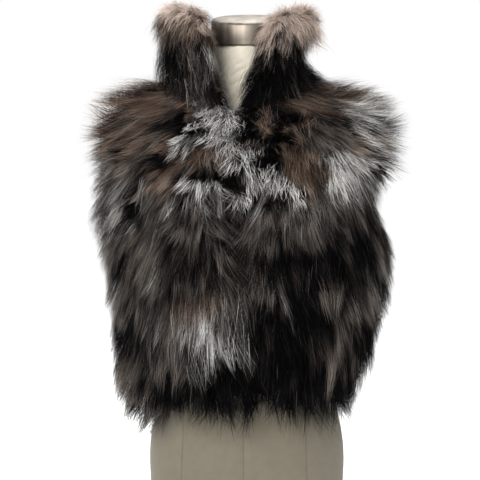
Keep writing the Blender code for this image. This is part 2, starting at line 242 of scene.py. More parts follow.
# Charts of the plates: middle across and up, half width and height, tone, comb and fan. The black plates
# marked below as painted shade darken creases and shadow lines beyond what their real sink gives.
FRONT_PLATES = (
    Plate(-0.151, 0.744, 0.045, 0.018, BROWN, -60.0),
    Plate(-0.232, 0.714, 0.036, 0.018, TAN, -52.0, sink=-PUFF),
    Plate(-0.164, 0.707, 0.030, 0.018, BROWN, -46.0),
    Plate(-0.190, 0.692, 0.024, 0.010, DARK, -44.0),
    Plate(-0.240, 0.674, 0.036, 0.021, BROWN, -42.0, sink=-1.3 * PUFF),
    Plate(-0.150, 0.682, 0.014, 0.014, DARK, -40.0),
    Plate(-0.186, 0.668, 0.020, 0.016, BROWN, -38.0),
    Plate(-0.131, 0.660, 0.018, 0.010, BROWN, -26.0),
    # Painted shade: these two black plates darken the crease between the brown shoulder and the chest,
    # over its real sink.
    Plate(-0.126, 0.650, 0.017, 0.017, BLACK, -28.0, sink=1.4 * CREASE),
    Plate(-0.145, 0.630, 0.022, 0.015, BLACK, -36.0, sink=1.4 * CREASE),
    Plate(-0.171, 0.636, 0.011, 0.019, TAUPE, -30.0),
    Plate(-0.225, 0.630, 0.034, 0.024, TAUPE, -24.0, sink=0.9 * CREASE),
    Plate(-0.106, 0.718, 0.016, 0.021, TAN, -12.0, sink=-0.5 * PUFF),
    Plate(-0.126, 0.705, 0.011, 0.026, DARK, -25.0),
    # Painted shade: these two black plates carry the same dark crease up towards the collar.
    Plate(-0.086, 0.709, 0.018, 0.019, BLACK, -30.0, sink=1.4 * CREASE),
    Plate(-0.108, 0.682, 0.019, 0.021, BLACK, -25.0, sink=1.4 * CREASE),
    Plate(-0.045, 0.682, 0.034, 0.036, SILVER, -4.0, sink=-0.5 * PUFF, short=True),
    Plate(-0.078, 0.660, 0.026, 0.020, SILVER, -14.0, sink=-0.5 * PUFF, short=True),
    Plate(-0.034, 0.680, 0.021, 0.028, WHITE, 6.0, sink=-0.5 * PUFF, short=True),
    Plate(-0.042, 0.638, 0.030, 0.008, BROWN, 5.0, 25.0),
    Plate(-0.078, 0.632, 0.022, 0.013, BROWN, -10.0, 25.0),
    Plate(-0.046, 0.625, 0.044, 0.010, DARK, 10.0, 40.0),
    # Painted shadow: this black plate darkens the line under the brown fold, over its real sink.
    Plate(-0.062, 0.609, 0.042, 0.010, BLACK, 0.0, 30.0, sink=CREASE),
    Plate(-0.126, 0.603, 0.024, 0.019, BROWN, -35.0),
    Plate(-0.076, 0.590, 0.045, 0.010, SILVER, -4.0, 35.0),
    Plate(-0.018, 0.586, 0.017, 0.016, GREY, 45.0),
    Plate(-0.078, 0.556, 0.045, 0.018, GREY, 0.0, 32.0),
    Plate(-0.074, 0.518, 0.045, 0.022, DARK, 0.0, 32.0),
    Plate(-0.024, 0.534, 0.019, 0.029, DARK, 35.0),
    Plate(-0.138, 0.547, 0.019, 0.039, TAUPE, -28.0),
    # Painted shade: this black plate darkens a crease at the side of the chest, over its real sink.
    Plate(-0.172, 0.560, 0.015, 0.028, BLACK, -20.0, sink=CREASE),
    Plate(-0.240, 0.580, 0.036, 0.026, GREY, -24.0, sink=-1.2 * PUFF),
    Plate(-0.244, 0.534, 0.034, 0.026, GREY, -18.0, sink=-1.2 * PUFF),
    Plate(-0.222, 0.548, 0.010, 0.028, SILVER, -18.0, sink=-0.6 * PUFF),
    Plate(-0.164, 0.498, 0.029, 0.029, TAUPE, -24.0),
    Plate(-0.070, 0.482, 0.058, 0.023, DARK, 0.0, 28.0),
    Plate(-0.220, 0.470, 0.018, 0.030, TAUPE, -12.0),
    Plate(-0.208, 0.456, 0.012, 0.024, BLACK, -8.0),
    Plate(-0.151, 0.453, 0.029, 0.029, TAUPE, -18.0),
    Plate(-0.065, 0.433, 0.055, 0.032, DARK, 12.0, 22.0),
    Plate(-0.206, 0.400, 0.020, 0.024, TAUPE, -22.0, sink=-PUFF),
    Plate(-0.172, 0.393, 0.019, 0.040, DARK, -8.0),
    Plate(-0.131, 0.365, 0.028, 0.036, TAUPE, -8.0),
    Plate(-0.058, 0.398, 0.040, 0.013, BROWN, 8.0),
    Plate(-0.076, 0.388, 0.023, 0.010, TAN, 0.0),
    Plate(-0.070, 0.361, 0.027, 0.016, WHITE, 2.0),
    Plate(-0.017, 0.372, 0.021, 0.036, GREY, 18.0),
    Plate(-0.040, 0.322, 0.042, 0.026, STREAKED, 18.0),
    Plate(-0.126, 0.318, 0.023, 0.024, TAUPE, 3.0),
    Plate(-0.083, 0.264, 0.074, 0.032, BLACK, 4.0),
    Plate(-0.180, 0.322, 0.026, 0.029, BLACK, -10.0),
    Plate(-0.190, 0.252, 0.034, 0.045, TAUPE, -8.0, sink=-0.7 * PUFF),
    Plate(0.047, 0.724, 0.045, 0.034, BLACK, -8.0, 15.0),
    # Painted shadow: this black plate darkens the line down the middle opening.
    Plate(0.004, 0.684, 0.009, 0.034, BLACK, 0.0, short=True),
    Plate(0.034, 0.691, 0.019, 0.016, TAN, -8.0, 25.0, sink=-0.3 * PUFF),
    # Painted shade: these two black plates darken a crease below the collar's black stem, over its real
    # sink.
    Plate(0.075, 0.692, 0.013, 0.020, BLACK, -20.0, sink=0.6 * CREASE),
    Plate(0.060, 0.662, 0.013, 0.020, BLACK, -20.0, sink=0.6 * CREASE),
    Plate(0.025, 0.664, 0.026, 0.016, DARK, -10.0, short=True),
    Plate(0.014, 0.608, 0.021, 0.044, SILVER, 6.0, sink=-0.5 * PUFF, short=True),
    Plate(0.019, 0.600, 0.023, 0.036, WHITE, 6.0, sink=-0.5 * PUFF, short=True),
    Plate(0.041, 0.611, 0.020, 0.019, WHITE, -12.0, sink=-0.6 * PUFF, short=True),
    Plate(0.066, 0.598, 0.020, 0.017, SILVER, -8.0, sink=-0.5 * PUFF, short=True),
    Plate(0.085, 0.584, 0.014, 0.011, SILVER, 0.0, sink=-0.3 * PUFF, short=True),
    # Painted shade: this black plate and the next darken crease lines across the chest, over their real
    # sink.
    Plate(0.046, 0.640, 0.018, 0.010, BLACK, -10.0, sink=0.4 * CREASE, short=True),
    Plate(0.100, 0.577, 0.010, 0.012, BLACK, 0.0, sink=CREASE),
    Plate(0.084, 0.636, 0.022, 0.040, BROWN, -3.0),
    Plate(0.102, 0.694, 0.013, 0.016, TAN, -18.0, sink=-0.3 * PUFF),
    Plate(0.120, 0.671, 0.019, 0.029, DARK, 6.0),
    Plate(0.110, 0.636, 0.011, 0.010, TAN, 0.0),
    Plate(0.115, 0.605, 0.018, 0.023, BROWN, 6.0),
    Plate(0.113, 0.733, 0.023, 0.023, BROWN, 36.0),
    Plate(0.184, 0.749, 0.050, 0.017, BROWN, 66.0, sink=0.5 * CREASE),
    Plate(0.145, 0.718, 0.026, 0.020, BROWN, 46.0),
    Plate(0.200, 0.719, 0.030, 0.014, SILVER, 62.0),
    Plate(0.152, 0.688, 0.021, 0.016, DARK, 38.0),
    Plate(0.226, 0.693, 0.030, 0.009, DARK, 50.0, sink=0.3 * CREASE),
    Plate(0.214, 0.674, 0.042, 0.013, SILVER, 46.0, sink=0.3 * CREASE),
    Plate(0.206, 0.656, 0.040, 0.006, TAN, 46.0, sink=0.2 * CREASE),
    Plate(0.228, 0.642, 0.027, 0.011, SILVER, 42.0, sink=0.7 * CREASE),
    Plate(0.256, 0.676, 0.014, 0.020, SILVER, 44.0, sink=1.5 * CREASE),
    Plate(0.254, 0.638, 0.014, 0.020, TAUPE, 38.0, sink=1.5 * CREASE),
    Plate(0.233, 0.618, 0.013, 0.011, BLACK, 40.0, sink=CREASE),
    Plate(0.154, 0.665, 0.021, 0.010, TAUPE, 25.0),
    Plate(0.166, 0.617, 0.032, 0.034, SILVER, 14.0, 15.0, short=True),
    Plate(0.203, 0.582, 0.022, 0.036, GREY, 22.0),
    Plate(0.242, 0.578, 0.020, 0.040, DARK, 22.0, sink=-0.6 * PUFF),
    Plate(0.160, 0.548, 0.026, 0.018, TAUPE, 16.0),
    Plate(0.176, 0.524, 0.030, 0.022, DARK, 16.0),
    Plate(0.123, 0.550, 0.021, 0.039, TAUPE, 12.0),
    Plate(0.096, 0.543, 0.011, 0.016, GREY, 0.0),
    Plate(0.053, 0.572, 0.022, 0.011, DARK, -8.0, sink=0.5 * CREASE),
    Plate(0.044, 0.537, 0.039, 0.016, TAUPE, -10.0, 14.0),
    Plate(0.041, 0.498, 0.042, 0.023, DARK, -10.0, 14.0),
    Plate(0.186, 0.493, 0.042, 0.026, BLACK, 12.0),
    Plate(0.086, 0.461, 0.039, 0.032, BLACK, -4.0),
    Plate(0.015, 0.453, 0.015, 0.052, DARK, -12.0),
    Plate(0.164, 0.446, 0.039, 0.026, BLACK, 6.0),
    Plate(0.228, 0.479, 0.016, 0.032, DARK, 20.0),
    Plate(0.217, 0.432, 0.010, 0.018, GREY, 10.0),
    Plate(0.207, 0.393, 0.016, 0.026, TAUPE, 12.0),
    Plate(0.236, 0.401, 0.010, 0.057, BLACK, 15.0),
    Plate(0.066, 0.408, 0.012, 0.016, TAUPE, -8.0),
    Plate(0.147, 0.417, 0.010, 0.016, TAUPE, 0.0),
    Plate(0.125, 0.381, 0.036, 0.024, BLACK, 2.0),
    Plate(0.052, 0.328, 0.036, 0.073, BLACK, -5.0),
    Plate(0.162, 0.344, 0.022, 0.036, DARK, 0.0),
    Plate(0.128, 0.276, 0.036, 0.022, BLACK, 0.0),
    Plate(0.205, 0.310, 0.018, 0.056, BLACK, -4.0),
    Plate(0.092, 0.232, 0.081, 0.022, BLACK, 0.0),
)

BACK_PLATES = (
    Plate(-0.150, 0.728, 0.050, 0.026, BROWN, -62.0),
    Plate(0.150, 0.728, 0.050, 0.026, BROWN, 62.0),
    Plate(0.000, 0.700, 0.050, 0.026, DARK, 0.0, 30.0),
    Plate(-0.215, 0.680, 0.036, 0.030, TAN, -50.0),
    Plate(0.215, 0.680, 0.036, 0.030, SILVER, 50.0),
    Plate(-0.100, 0.650, 0.046, 0.034, SILVER, -16.0, 14.0),
    Plate(0.085, 0.648, 0.046, 0.034, BROWN, 14.0, 14.0),
    Plate(-0.190, 0.616, 0.036, 0.034, BROWN, -30.0),
    Plate(0.185, 0.612, 0.040, 0.034, GREY, 26.0),
    Plate(0.000, 0.606, 0.036, 0.030, BLACK, 0.0, 14.0),
    Plate(-0.142, 0.556, 0.040, 0.032, TAUPE, -16.0),
    Plate(-0.046, 0.550, 0.046, 0.030, SILVER, 0.0, 24.0, short=True),
    Plate(0.066, 0.556, 0.042, 0.034, DARK, 5.0, 16.0),
    Plate(0.150, 0.540, 0.036, 0.030, SILVER, 14.0),
    Plate(-0.208, 0.494, 0.036, 0.044, GREY, -16.0),
    Plate(-0.096, 0.486, 0.044, 0.032, DARK, -6.0),
    Plate(0.018, 0.484, 0.044, 0.034, GREY, 0.0, 22.0),
    Plate(0.122, 0.474, 0.040, 0.034, BROWN, 8.0),
    Plate(0.212, 0.480, 0.034, 0.048, DARK, 16.0),
    Plate(-0.160, 0.418, 0.040, 0.034, BROWN, -10.0),
    Plate(-0.046, 0.416, 0.046, 0.034, TAUPE, -2.0, 18.0),
    Plate(0.072, 0.408, 0.046, 0.034, BLACK, 2.0),
    Plate(0.168, 0.404, 0.036, 0.034, TAUPE, 10.0),
    Plate(-0.205, 0.344, 0.034, 0.038, DARK, -8.0),
    Plate(-0.104, 0.344, 0.040, 0.032, GREY, -4.0),
    Plate(0.002, 0.346, 0.040, 0.028, SILVER, 0.0, 18.0),
    Plate(0.106, 0.338, 0.042, 0.034, DARK, 4.0),
    Plate(0.202, 0.334, 0.032, 0.038, TAUPE, 8.0),
    Plate(-0.150, 0.270, 0.044, 0.034, TAUPE, -5.0),
    Plate(-0.040, 0.276, 0.046, 0.030, DARK, 0.0, 14.0),
    Plate(0.060, 0.268, 0.040, 0.034, GREY, 2.0),
    Plate(0.156, 0.262, 0.042, 0.036, DARK, 6.0),
    Plate(-0.090, 0.204, 0.080, 0.022, BLACK, -2.0),
    Plate(0.090, 0.204, 0.080, 0.022, BLACK, 2.0),
)

COLLAR_PLATES = (
    Plate(-0.095, 0.866, 0.048, 0.022, FAWN, -20.0),
    Plate(-0.098, 0.830, 0.036, 0.017, TAN, -15.0),
    Plate(-0.144, 0.834, 0.016, 0.024, TAUPE, -25.0),
    Plate(-0.050, 0.866, 0.018, 0.022, FAWN, 25.0, sink=-0.7 * PUFF),
    Plate(-0.048, 0.830, 0.020, 0.020, TAN, 20.0, sink=-PUFF),
    Plate(-0.144, 0.786, 0.010, 0.022, GREY, -28.0),
    Plate(-0.118, 0.776, 0.018, 0.036, BLACK, -8.0),
    Plate(-0.086, 0.800, 0.018, 0.014, TAUPE, 0.0),
    Plate(-0.088, 0.765, 0.010, 0.020, TAUPE, 2.0),
    Plate(-0.066, 0.768, 0.024, 0.028, GREY, 15.0),
    Plate(-0.058, 0.774, 0.013, 0.018, SILVER, 15.0),
    Plate(-0.034, 0.778, 0.018, 0.036, DARK, 12.0, sink=-1.1 * PUFF),
    Plate(-0.060, 0.735, 0.036, 0.014, DARK, 10.0),
    Plate(-0.115, 0.738, 0.030, 0.018, DARK, -15.0),
    Plate(0.078, 0.862, 0.045, 0.024, FAWN, 10.0),
    Plate(0.112, 0.838, 0.022, 0.014, FAWN, 20.0),
    Plate(0.036, 0.822, 0.018, 0.026, FAWN, -20.0),
    Plate(0.124, 0.816, 0.014, 0.010, FAWN, 50.0),
    Plate(0.118, 0.784, 0.018, 0.020, BLACK, -15.0, sink=0.5 * CREASE),
    Plate(0.064, 0.814, 0.022, 0.012, TAUPE, -5.0),
    Plate(0.060, 0.755, 0.045, 0.048, BLACK, -10.0),
    Plate(0.090, 0.800, 0.014, 0.020, BLACK, 6.0),
    Plate(0.030, 0.778, 0.012, 0.020, DARK, -18.0),
    Plate(0.056, 0.768, 0.008, 0.030, GREY, -10.0),
    Plate(0.080, 0.744, 0.012, 0.018, DARK, 4.0),
)


def unit(vectors: Array) -> Array:
    """Returns the vectors at length one."""
    return vectors / np.maximum(np.linalg.norm(vectors, axis=-1, keepdims=True), SMALLEST)


def dot(a: Array, b: Array) -> Array:
    """Returns the dot product of each pair of rows, as a column."""
    return np.sum(a * b, axis=-1, keepdims=True)


def smooth_step(value: Array) -> Array:
    """Returns an eased rise from 0 to 1 as the value goes from 0 to 1."""
    share = np.clip(value, 0.0, 1.0)
    return share * share * (3.0 - 2.0 * share)


def downward(turns: Array) -> Array:
    """Returns directions parallel to the front, each so many degrees from straight down."""
    angle = np.radians(turns)
    return np.stack([np.sin(angle), np.zeros_like(angle), -np.cos(angle)], axis=1)


def around(points: Array) -> Array:
    """Returns the turn of each point about the form's upright axis, 0 at the front."""
    return np.arctan2(points[:, 0], -points[:, 1])


def held_in(points: Array, most: float) -> Array:
    """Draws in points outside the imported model's box.

    Args:
        points: the points, one a row.
        most: metres that a point may stand past the box.

    Returns:
        The points, with those past the box eased back to less than the most.
    """
    inside = np.clip(points, np.array(CAD_BOX[0]), np.array(CAD_BOX[1]))
    return inside + most * np.tanh((points - inside) / most)


def mixed(tones: Array, mix: Mix, draw: Array) -> Array:
    """Gives some of the hair another tone that grows among its own.

    Args:
        tones: tone number of each hair or lock.
        mix: other tones, and how much of each there is.
        draw: random number from 0 to 1 for each hair or lock.

    Returns:
        The tone numbers after the change.
    """
    changed = tones.copy()
    for tone, shares in mix.items():
        start = 0.0
        for other, share in shares:
            hit = (tones == tone.value) & (draw >= start) & (draw < start + share)
            changed[hit] = other.value
            start += share
    return changed


def surface_tree(points: Array, triangles: Array) -> BVHTree:
    """Returns a search tree of a surface."""
    return BVHTree.FromPolygons(points.tolist(), triangles.tolist())


def nearest(tree: BVHTree, points: Array) -> tuple[Array, Array, Array]:
    """Finds the nearest place on a surface for each point.

    Args:
        tree: the surface.
        points: the points, one a row.

    Returns:
        The places, the surface's normals there and the distances.
    """
    found = [tree.find_nearest(point) for point in points.tolist()]
    places = np.array([tuple(item[0]) for item in found])
    normals = np.array([tuple(item[1]) for item in found])
    distances = np.array([item[3] for item in found])
    return places, normals, distances


def vertex_rows(mesh: bpy.types.Mesh, what: str = "co") -> Array:
    """Reads a mesh's vertices.

    Args:
        mesh: the mesh.
        what: what is read of each vertex, its place if not said otherwise.

    Returns:
        One vertex a row.
    """
    flat = np.zeros(len(mesh.vertices) * 3)
    mesh.vertices.foreach_get(what, flat)
    return flat.reshape(-1, 3)


def triangle_rows(mesh: bpy.types.Mesh) -> Array:
    """Reads a mesh's triangles.

    Args:
        mesh: the mesh.

    Returns:
        Rows of three vertex numbers.
    """
    mesh.calc_loop_triangles()
    flat = np.zeros(len(mesh.loop_triangles) * 3, dtype=np.int32)
    mesh.loop_triangles.foreach_get("vertices", flat)
    return flat.reshape(-1, 3)


def welded(node: str) -> tuple[Array, Array]:
    """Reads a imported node, whose triangles are loose, as one joined surface.

    Args:
        node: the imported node's name.

    Returns:
        Its points, and its triangles as rows of three point numbers.
    """
    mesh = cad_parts[node].data
    loose = vertex_rows(mesh)
    keys = np.round(loose / WELD).astype(np.int64)
    _, first, joined = np.unique(keys, axis=0, return_index=True, return_inverse=True)
    return loose[first], joined.reshape(-1)[triangle_rows(mesh)]


def deselect_all() -> None:
    """Leaves nothing selected."""
    for item in bpy.context.selected_objects:
        item.select_set(False)


def make_active(piece: bpy.types.Object) -> None:
    """Selects one piece alone and makes it active.

    Args:
        piece: the piece.
    """
    deselect_all()
    piece.select_set(True)
    bpy.context.view_layer.objects.active = piece


def add_object(name: str, data: bpy.types.ID) -> bpy.types.Object:
    """Adds an object to the scene.

    Args:
        name: the object's name.
        data: its mesh, light or camera.

    Returns:
        The object, at the origin.
    """
    item = bpy.data.objects.new(name, data)
    bpy.context.scene.collection.objects.link(item)
    return item


def merged_copy(node: str, name: str) -> bpy.types.Object:
    """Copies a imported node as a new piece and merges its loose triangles.

    Args:
        node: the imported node's name.
        name: the new piece's name.

    Returns:
        The new piece, active and in object mode.
    """
    piece = add_object(name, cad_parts[node].data.copy())
    piece.data.name = name
    piece.data.materials.clear()
    make_active(piece)
    bpy.ops.object.mode_set(mode="EDIT")
    bpy.ops.mesh.select_all(action="SELECT")
    bpy.ops.mesh.remove_doubles(threshold=WELD)
    bpy.ops.object.mode_set(mode="OBJECT")
    return piece


def apply_modifier(piece: bpy.types.Object, kind: str, **values: object) -> None:
    """Adds a modifier to the active piece and applies it.

    Args:
        piece: the active piece.
        kind: the modifier's type.
        values: its properties by name.
    """
    modifier = piece.modifiers.new(kind.lower(), kind)
    for name, value in values.items():
        setattr(modifier, name, value)
    bpy.ops.object.modifier_apply(modifier=modifier.name)


class Nodes:
    """A material's node tree, with short calls to add and join its nodes."""

    def __init__(self, name: str) -> None:
        """Starts a material with a Principled shader.

        Args:
            name: the material's name.
        """
        self.material = bpy.data.materials.new(name)
        self.material.use_nodes = True
        self.tree = self.material.node_tree
        self.shader = self.tree.nodes["Principled BSDF"]

    def feed(self, target: Socket, value: object) -> None:
        """Links an output to an input, or sets the input to a constant.

        Args:
            target: the input.
            value: the output or the constant.
        """
        if isinstance(value, Socket):
            self.tree.links.new(value, target)
        else:
            target.default_value = value

    def add(self, kind: str, inputs: dict[str | int, object], **options: object) -> bpy.types.Node:
        """Adds a node.

        Args:
            kind: the node's type.
            inputs: outputs of other nodes, or constants, by the input's name or number.
            options: the node's properties by name.

        Returns:
            The new node.
        """
        node = self.tree.nodes.new(kind)
        for name, value in options.items():
            setattr(node, name, value)
        for key, value in inputs.items():
            self.feed(node.inputs[key], value)
        return node

    def shade(self, values: dict[str, object]) -> None:
        """Feeds the shader's inputs by name, from outputs or with constants."""
        for name, value in values.items():
            self.feed(self.shader.inputs[name], value)

    def maths(self, operation: str, *values: object) -> Socket:
        """Adds a Math node.

        Args:
            operation: the node's operation.
            values: its inputs in order, as outputs of other nodes or as numbers.

        Returns:
            The node's output.
        """
        return self.add("ShaderNodeMath", dict(enumerate(values)), operation=operation).outputs[0]

    def mix(self, share: object, first: object, second: object, blend: str = "MIX") -> Socket:
        """Adds a colour mix. The Mix node's colours are its inputs 6 and 7 and its output 2.

        Args:
            share: how much of the second colour, as an output or a number.
            first: a colour, as an output or as four numbers.
            second: the other colour.
            blend: how the second colour goes over the first.

        Returns:
            The mixed colour's output.
        """
        inputs = {0: share, 6: first, 7: second}
        return self.add("ShaderNodeMix", inputs, data_type="RGBA", blend_type=blend).outputs[2]

    def ramp(self, value: Socket, stops: Sequence[tuple[float, Colour]]) -> Socket:
        """Adds a colour ramp.

        Args:
            value: output that the ramp reads.
            stops: places from 0 to 1 and the colours there.

        Returns:
            The ramp's colour output.
        """
        node = self.add("ShaderNodeValToRGB", {0: value})
        elements = node.color_ramp.elements
        while len(elements) < len(stops):
            elements.new(1.0)
        for element, (place, colour) in zip(elements, stops):
            element.position = place
            element.color = (*colour, 1.0)
        return node.outputs[0]

    def noise(self, place: Socket, scale: float, detail: float) -> Socket:
        """Adds a noise texture and returns its value."""
        inputs = {"Vector": place, "Scale": scale, "Detail": detail}
        return self.add("ShaderNodeTexNoise", inputs).outputs[0]

    def part(self, vector: Socket, axis: int) -> Socket:
        """Returns one coordinate of a vector, by the axis's number."""
        return self.add("ShaderNodeSeparateXYZ", {0: vector}).outputs[axis]

    def bump(self, height: Socket, strength: float, depth: float) -> None:
        """Raises the shader's surface by a height from 0 to 1.

        Args:
            height: output that holds the height.
            strength: share of the bump that shows.
            depth: metres from the lowest to the highest.
        """
        inputs = {"Strength": strength, "Distance": depth, "Height": height}
        self.shade({"Normal": self.add("ShaderNodeBump", inputs).outputs[0]})

    def places(self) -> Socket:
        """Returns the piece's own coordinates, in metres."""
        return self.add("ShaderNodeTexCoord", {}).outputs["Object"]

    def stretched(self, scale: tuple[float, float, float]) -> Socket:
        """Returns the piece's own coordinates, each multiplied by its scale."""
        return self.add("ShaderNodeMapping", {"Vector": self.places(), "Scale": scale}).outputs[0]


@dataclass(frozen=True)
class HairFinish:
    """Hair whose colour chart has a band for each tone, from root to tip along the hair."""

    name: str = "hair"
    root_roughness: float = 0.80
    tip_roughness: float = 0.50
    shine: float = 0.015
    half_band: float = 0.5

    def material(self) -> bpy.types.Material:
        """Sets the finish up, to read the hair's own map.

        Returns:
            The finish as a material.
        """
        nodes = Nodes(self.name)
        chart = nodes.add("ShaderNodeUVMap", {}, uv_map=HAIR_MAP).outputs[0]
        across = nodes.maths("MULTIPLY", nodes.part(chart, 0), float(len(FurTone)))
        band = nodes.maths("FLOOR", across)
        shade = nodes.maths("FRACT", across)
        along = nodes.part(chart, 1)
        colour = None
        for tone, stops in HAIR_COLOURS.items():
            deep = nodes.ramp(along, [(stop.along, stop.deep) for stop in stops])
            pale = nodes.ramp(along, [(stop.along, stop.pale) for stop in stops])
            own = nodes.mix(shade, deep, pale)
            if colour is None:
                colour = own
            else:
                chosen = nodes.maths("COMPARE", band, float(tone.value), self.half_band)
                colour = nodes.mix(chosen, colour, own)
        limits = {"Value": along, "To Min": self.root_roughness, "To Max": self.tip_roughness}
        roughness = nodes.add("ShaderNodeMapRange", limits).outputs[0]
        nodes.shade({"Base Color": colour, "Roughness": roughness, "Specular IOR Level": self.shine})
        return nodes.material


@dataclass(frozen=True)
class PeltFinish:
    """Matted underfur close to the skin, dark and soft."""

    name: str = "underfur"
    deep: Colour = (0.002, 0.002, 0.002)
    pale: Colour = (0.010, 0.008, 0.007)
    deep_up_to: float = 0.12
    pale_from: float = 0.45
    tuft_scale: float = 90.0
    tuft_detail: float = 4.0
    fibre_scale: float = 900.0
    fibre_detail: float = 2.0
    roughness: float = 0.95
    shine: float = 0.05
    relief: float = 0.8
    depth: float = 0.0012

    def material(self) -> bpy.types.Material:
        """Sets the finish up.

        Returns:
            The finish as a material.
        """
        nodes = Nodes(self.name)
        place = nodes.places()
        tufts = nodes.noise(place, self.tuft_scale, self.tuft_detail)
        fibres = nodes.noise(place, self.fibre_scale, self.fibre_detail)
        both = nodes.maths("MULTIPLY", tufts, fibres)
        colour = nodes.ramp(both, [(self.deep_up_to, self.deep), (self.pale_from, self.pale)])
        nodes.shade({"Base Color": colour, "Roughness": self.roughness, "Specular IOR Level": self.shine})
        nodes.bump(fibres, self.relief, self.depth)
        return nodes.material


@dataclass(frozen=True)
class LinenFinish:
    """Plain-woven linen cover of the form, with dusty blotches, darker and duller towards the hip as
    painted shade below the vest.
    """

    name: str = "linen_cover"
    # Colour at the hip: the linen darkened by painted shade below the vest.
    shaded_hip: Colour = (0.140, 0.122, 0.089)
    neck: Colour = (0.600, 0.548, 0.452)
    hip_height: float = 0.20
    neck_height: float = 0.72
    thread: float = 0.0011
    thread_depth: float = 0.00025
    thread_relief: float = 0.5
    thread_shade: float = 0.74
    thread_stops: tuple[float, float] = (0.0, 0.5)
    thread_wander: float = 1.2
    thread_detail: float = 2.0
    thread_detail_scale: float = 0.6
    wave_length: float = 0.314
    slub_scale: float = 70.0
    slub_detail: float = 5.0
    dust_shade: float = 0.90
    dust_stops: tuple[float, float] = (0.30, 0.70)
    seam_shade: float = 0.76
    seam_stops: tuple[float, float] = (0.2, 1.0)
    roughness: float = 0.85
    shine: float = 0.25
    sheen: float = 0.15

    def material(self) -> bpy.types.Material:
        """Sets the finish up, to read the cover's weave map.

        Returns:
            The finish as a material.
        """
        nodes = Nodes(self.name)
        place = nodes.places()
        weave = self.weave(nodes)
        limits = {"Value": nodes.part(place, 2), "From Min": self.hip_height, "From Max": self.neck_height}
        height = nodes.add("ShaderNodeMapRange", limits).outputs[0]
        slubs = nodes.noise(place, self.slub_scale, self.slub_detail)
        seam = nodes.add("ShaderNodeAttribute", {}, attribute_name=SEAM_MARK).outputs["Fac"]
        # Blends from the painted shade at the hip up to the neck colour.
        cover = nodes.mix(height, (*self.shaded_hip, 1.0), (*self.neck, 1.0))
        for value, stops, first, second in (
            (slubs, self.dust_stops, self.dust_shade, 1.0),
            (weave, self.thread_stops, self.thread_shade, 1.0),
            (seam, self.seam_stops, 1.0, self.seam_shade),
        ):
            shades = nodes.ramp(value, [(stops[0], grey(first)), (stops[1], grey(second))])
            cover = nodes.mix(1.0, cover, shades, "MULTIPLY")
        nodes.shade({"Base Color": cover, "Roughness": self.roughness, "Specular IOR Level": self.shine})
        nodes.shade({"Sheen Weight": self.sheen})
        nodes.bump(weave, self.thread_relief, self.thread_depth)
        return nodes.material

    def weave(self, nodes: Nodes) -> Socket:
        """Crosses two sets of threads.

        Args:
            nodes: the material's nodes.

        Returns:
            An output that is 1 on top of the threads and 0 between them.
        """
        inputs = {
            "Vector": nodes.add("ShaderNodeUVMap", {}, uv_map=WEAVE_MAP).outputs[0],
            "Scale": self.wave_length / self.thread,
            "Distortion": self.thread_wander,
            "Detail": self.thread_detail,
            "Detail Scale": self.thread_detail_scale,
        }
        waves = [nodes.add("ShaderNodeTexWave", inputs, bands_direction=way) for way in ("X", "Y")]
        return nodes.maths("MULTIPLY", *(wave.outputs[1] for wave in waves))


@dataclass(frozen=True)
class CapFinish:
    """Brushed pewter-coloured metal, with the brush marks running round the cap, upright bands of painted
    reflection down its side, and a top painted darker as painted shade.
    """

    name: str = "brushed_cap"
    deep: Colour = (0.118, 0.099, 0.080)
    pale: Colour = (0.220, 0.190, 0.157)
    # Colour of the top: painted shade, darker than the side, that tones down its bright reflection of the
    # white above.
    shaded_top: Colour = (0.076, 0.075, 0.069)
    deep_up_to: float = 0.38
    pale_from: float = 0.60
    top: float = 0.8830
    brush_scale: float = 420.0
    blur: float = 9.0
    mark_scale: float = 3.0
    mark_detail: float = 6.0
    mark_share: float = 0.2
    # Upright bands of painted reflection down the cap's side.
    reflection_band_scale: float = 60.0
    reflection_band_detail: float = 2.0
    reflection_band_share: float = 0.8
    roughness: float = 0.34
    mark_roughness: float = 0.25
    metal: float = 0.92
    relief: float = 0.15
    depth: float = 0.0002

    def material(self) -> bpy.types.Material:
        """Sets the finish up.

        Returns:
            The finish as a material.
        """
        nodes = Nodes(self.name)
        round_cap = nodes.stretched((self.blur, self.blur, self.brush_scale))
        marks = nodes.noise(round_cap, self.mark_scale, self.mark_detail)
        # Painted reflection: upright bands that, with the brush marks, set the side's colour between deep
        # and pale.
        upright = nodes.stretched((self.reflection_band_scale, self.reflection_band_scale, 1.0))
        bands = nodes.noise(upright, 1.0, self.reflection_band_detail)
        brushed = nodes.maths("MULTIPLY", marks, self.mark_share)
        both = nodes.maths("MULTIPLY_ADD", bands, self.reflection_band_share, brushed)
        side = nodes.ramp(both, [(self.deep_up_to, self.deep), (self.pale_from, self.pale)])
        # The top takes the darker colour of painted shade.
        on_top = nodes.maths("GREATER_THAN", nodes.part(nodes.places(), 2), self.top)
        colour = nodes.mix(on_top, side, (*self.shaded_top, 1.0))
        rough = nodes.maths("MULTIPLY_ADD", marks, self.mark_roughness, self.roughness)
        nodes.shade({"Base Color": colour, "Roughness": rough, "Metallic": self.metal})
        nodes.bump(marks, self.relief, self.depth)
        return nodes.material


@dataclass(frozen=True)
class FloorFinish:
    """Pale, matt studio floor that stays light under the form."""

    name: str = "studio_floor"
    pale: Colour = (0.90, 0.90, 0.90)
    deep: Colour = (0.88, 0.88, 0.88)
    deep_up_to: float = 0.3
    pale_from: float = 0.7
    grain_scale: float = 3.0
    grain_detail: float = 2.0
    roughness: float = 0.9
    glow: float = 0.60

    def material(self) -> bpy.types.Material:
        """Sets the finish up.

        Returns:
            The finish as a material.
        """
        nodes = Nodes(self.name)
        grain = nodes.noise(nodes.places(), self.grain_scale, self.grain_detail)
        colour = nodes.ramp(grain, [(self.deep_up_to, self.deep), (self.pale_from, self.pale)])
        nodes.shade({"Base Color": colour, "Roughness": self.roughness})
        nodes.shade({"Emission Color": (*grey(1.0), 1.0), "Emission Strength": self.glow})
        return nodes.material


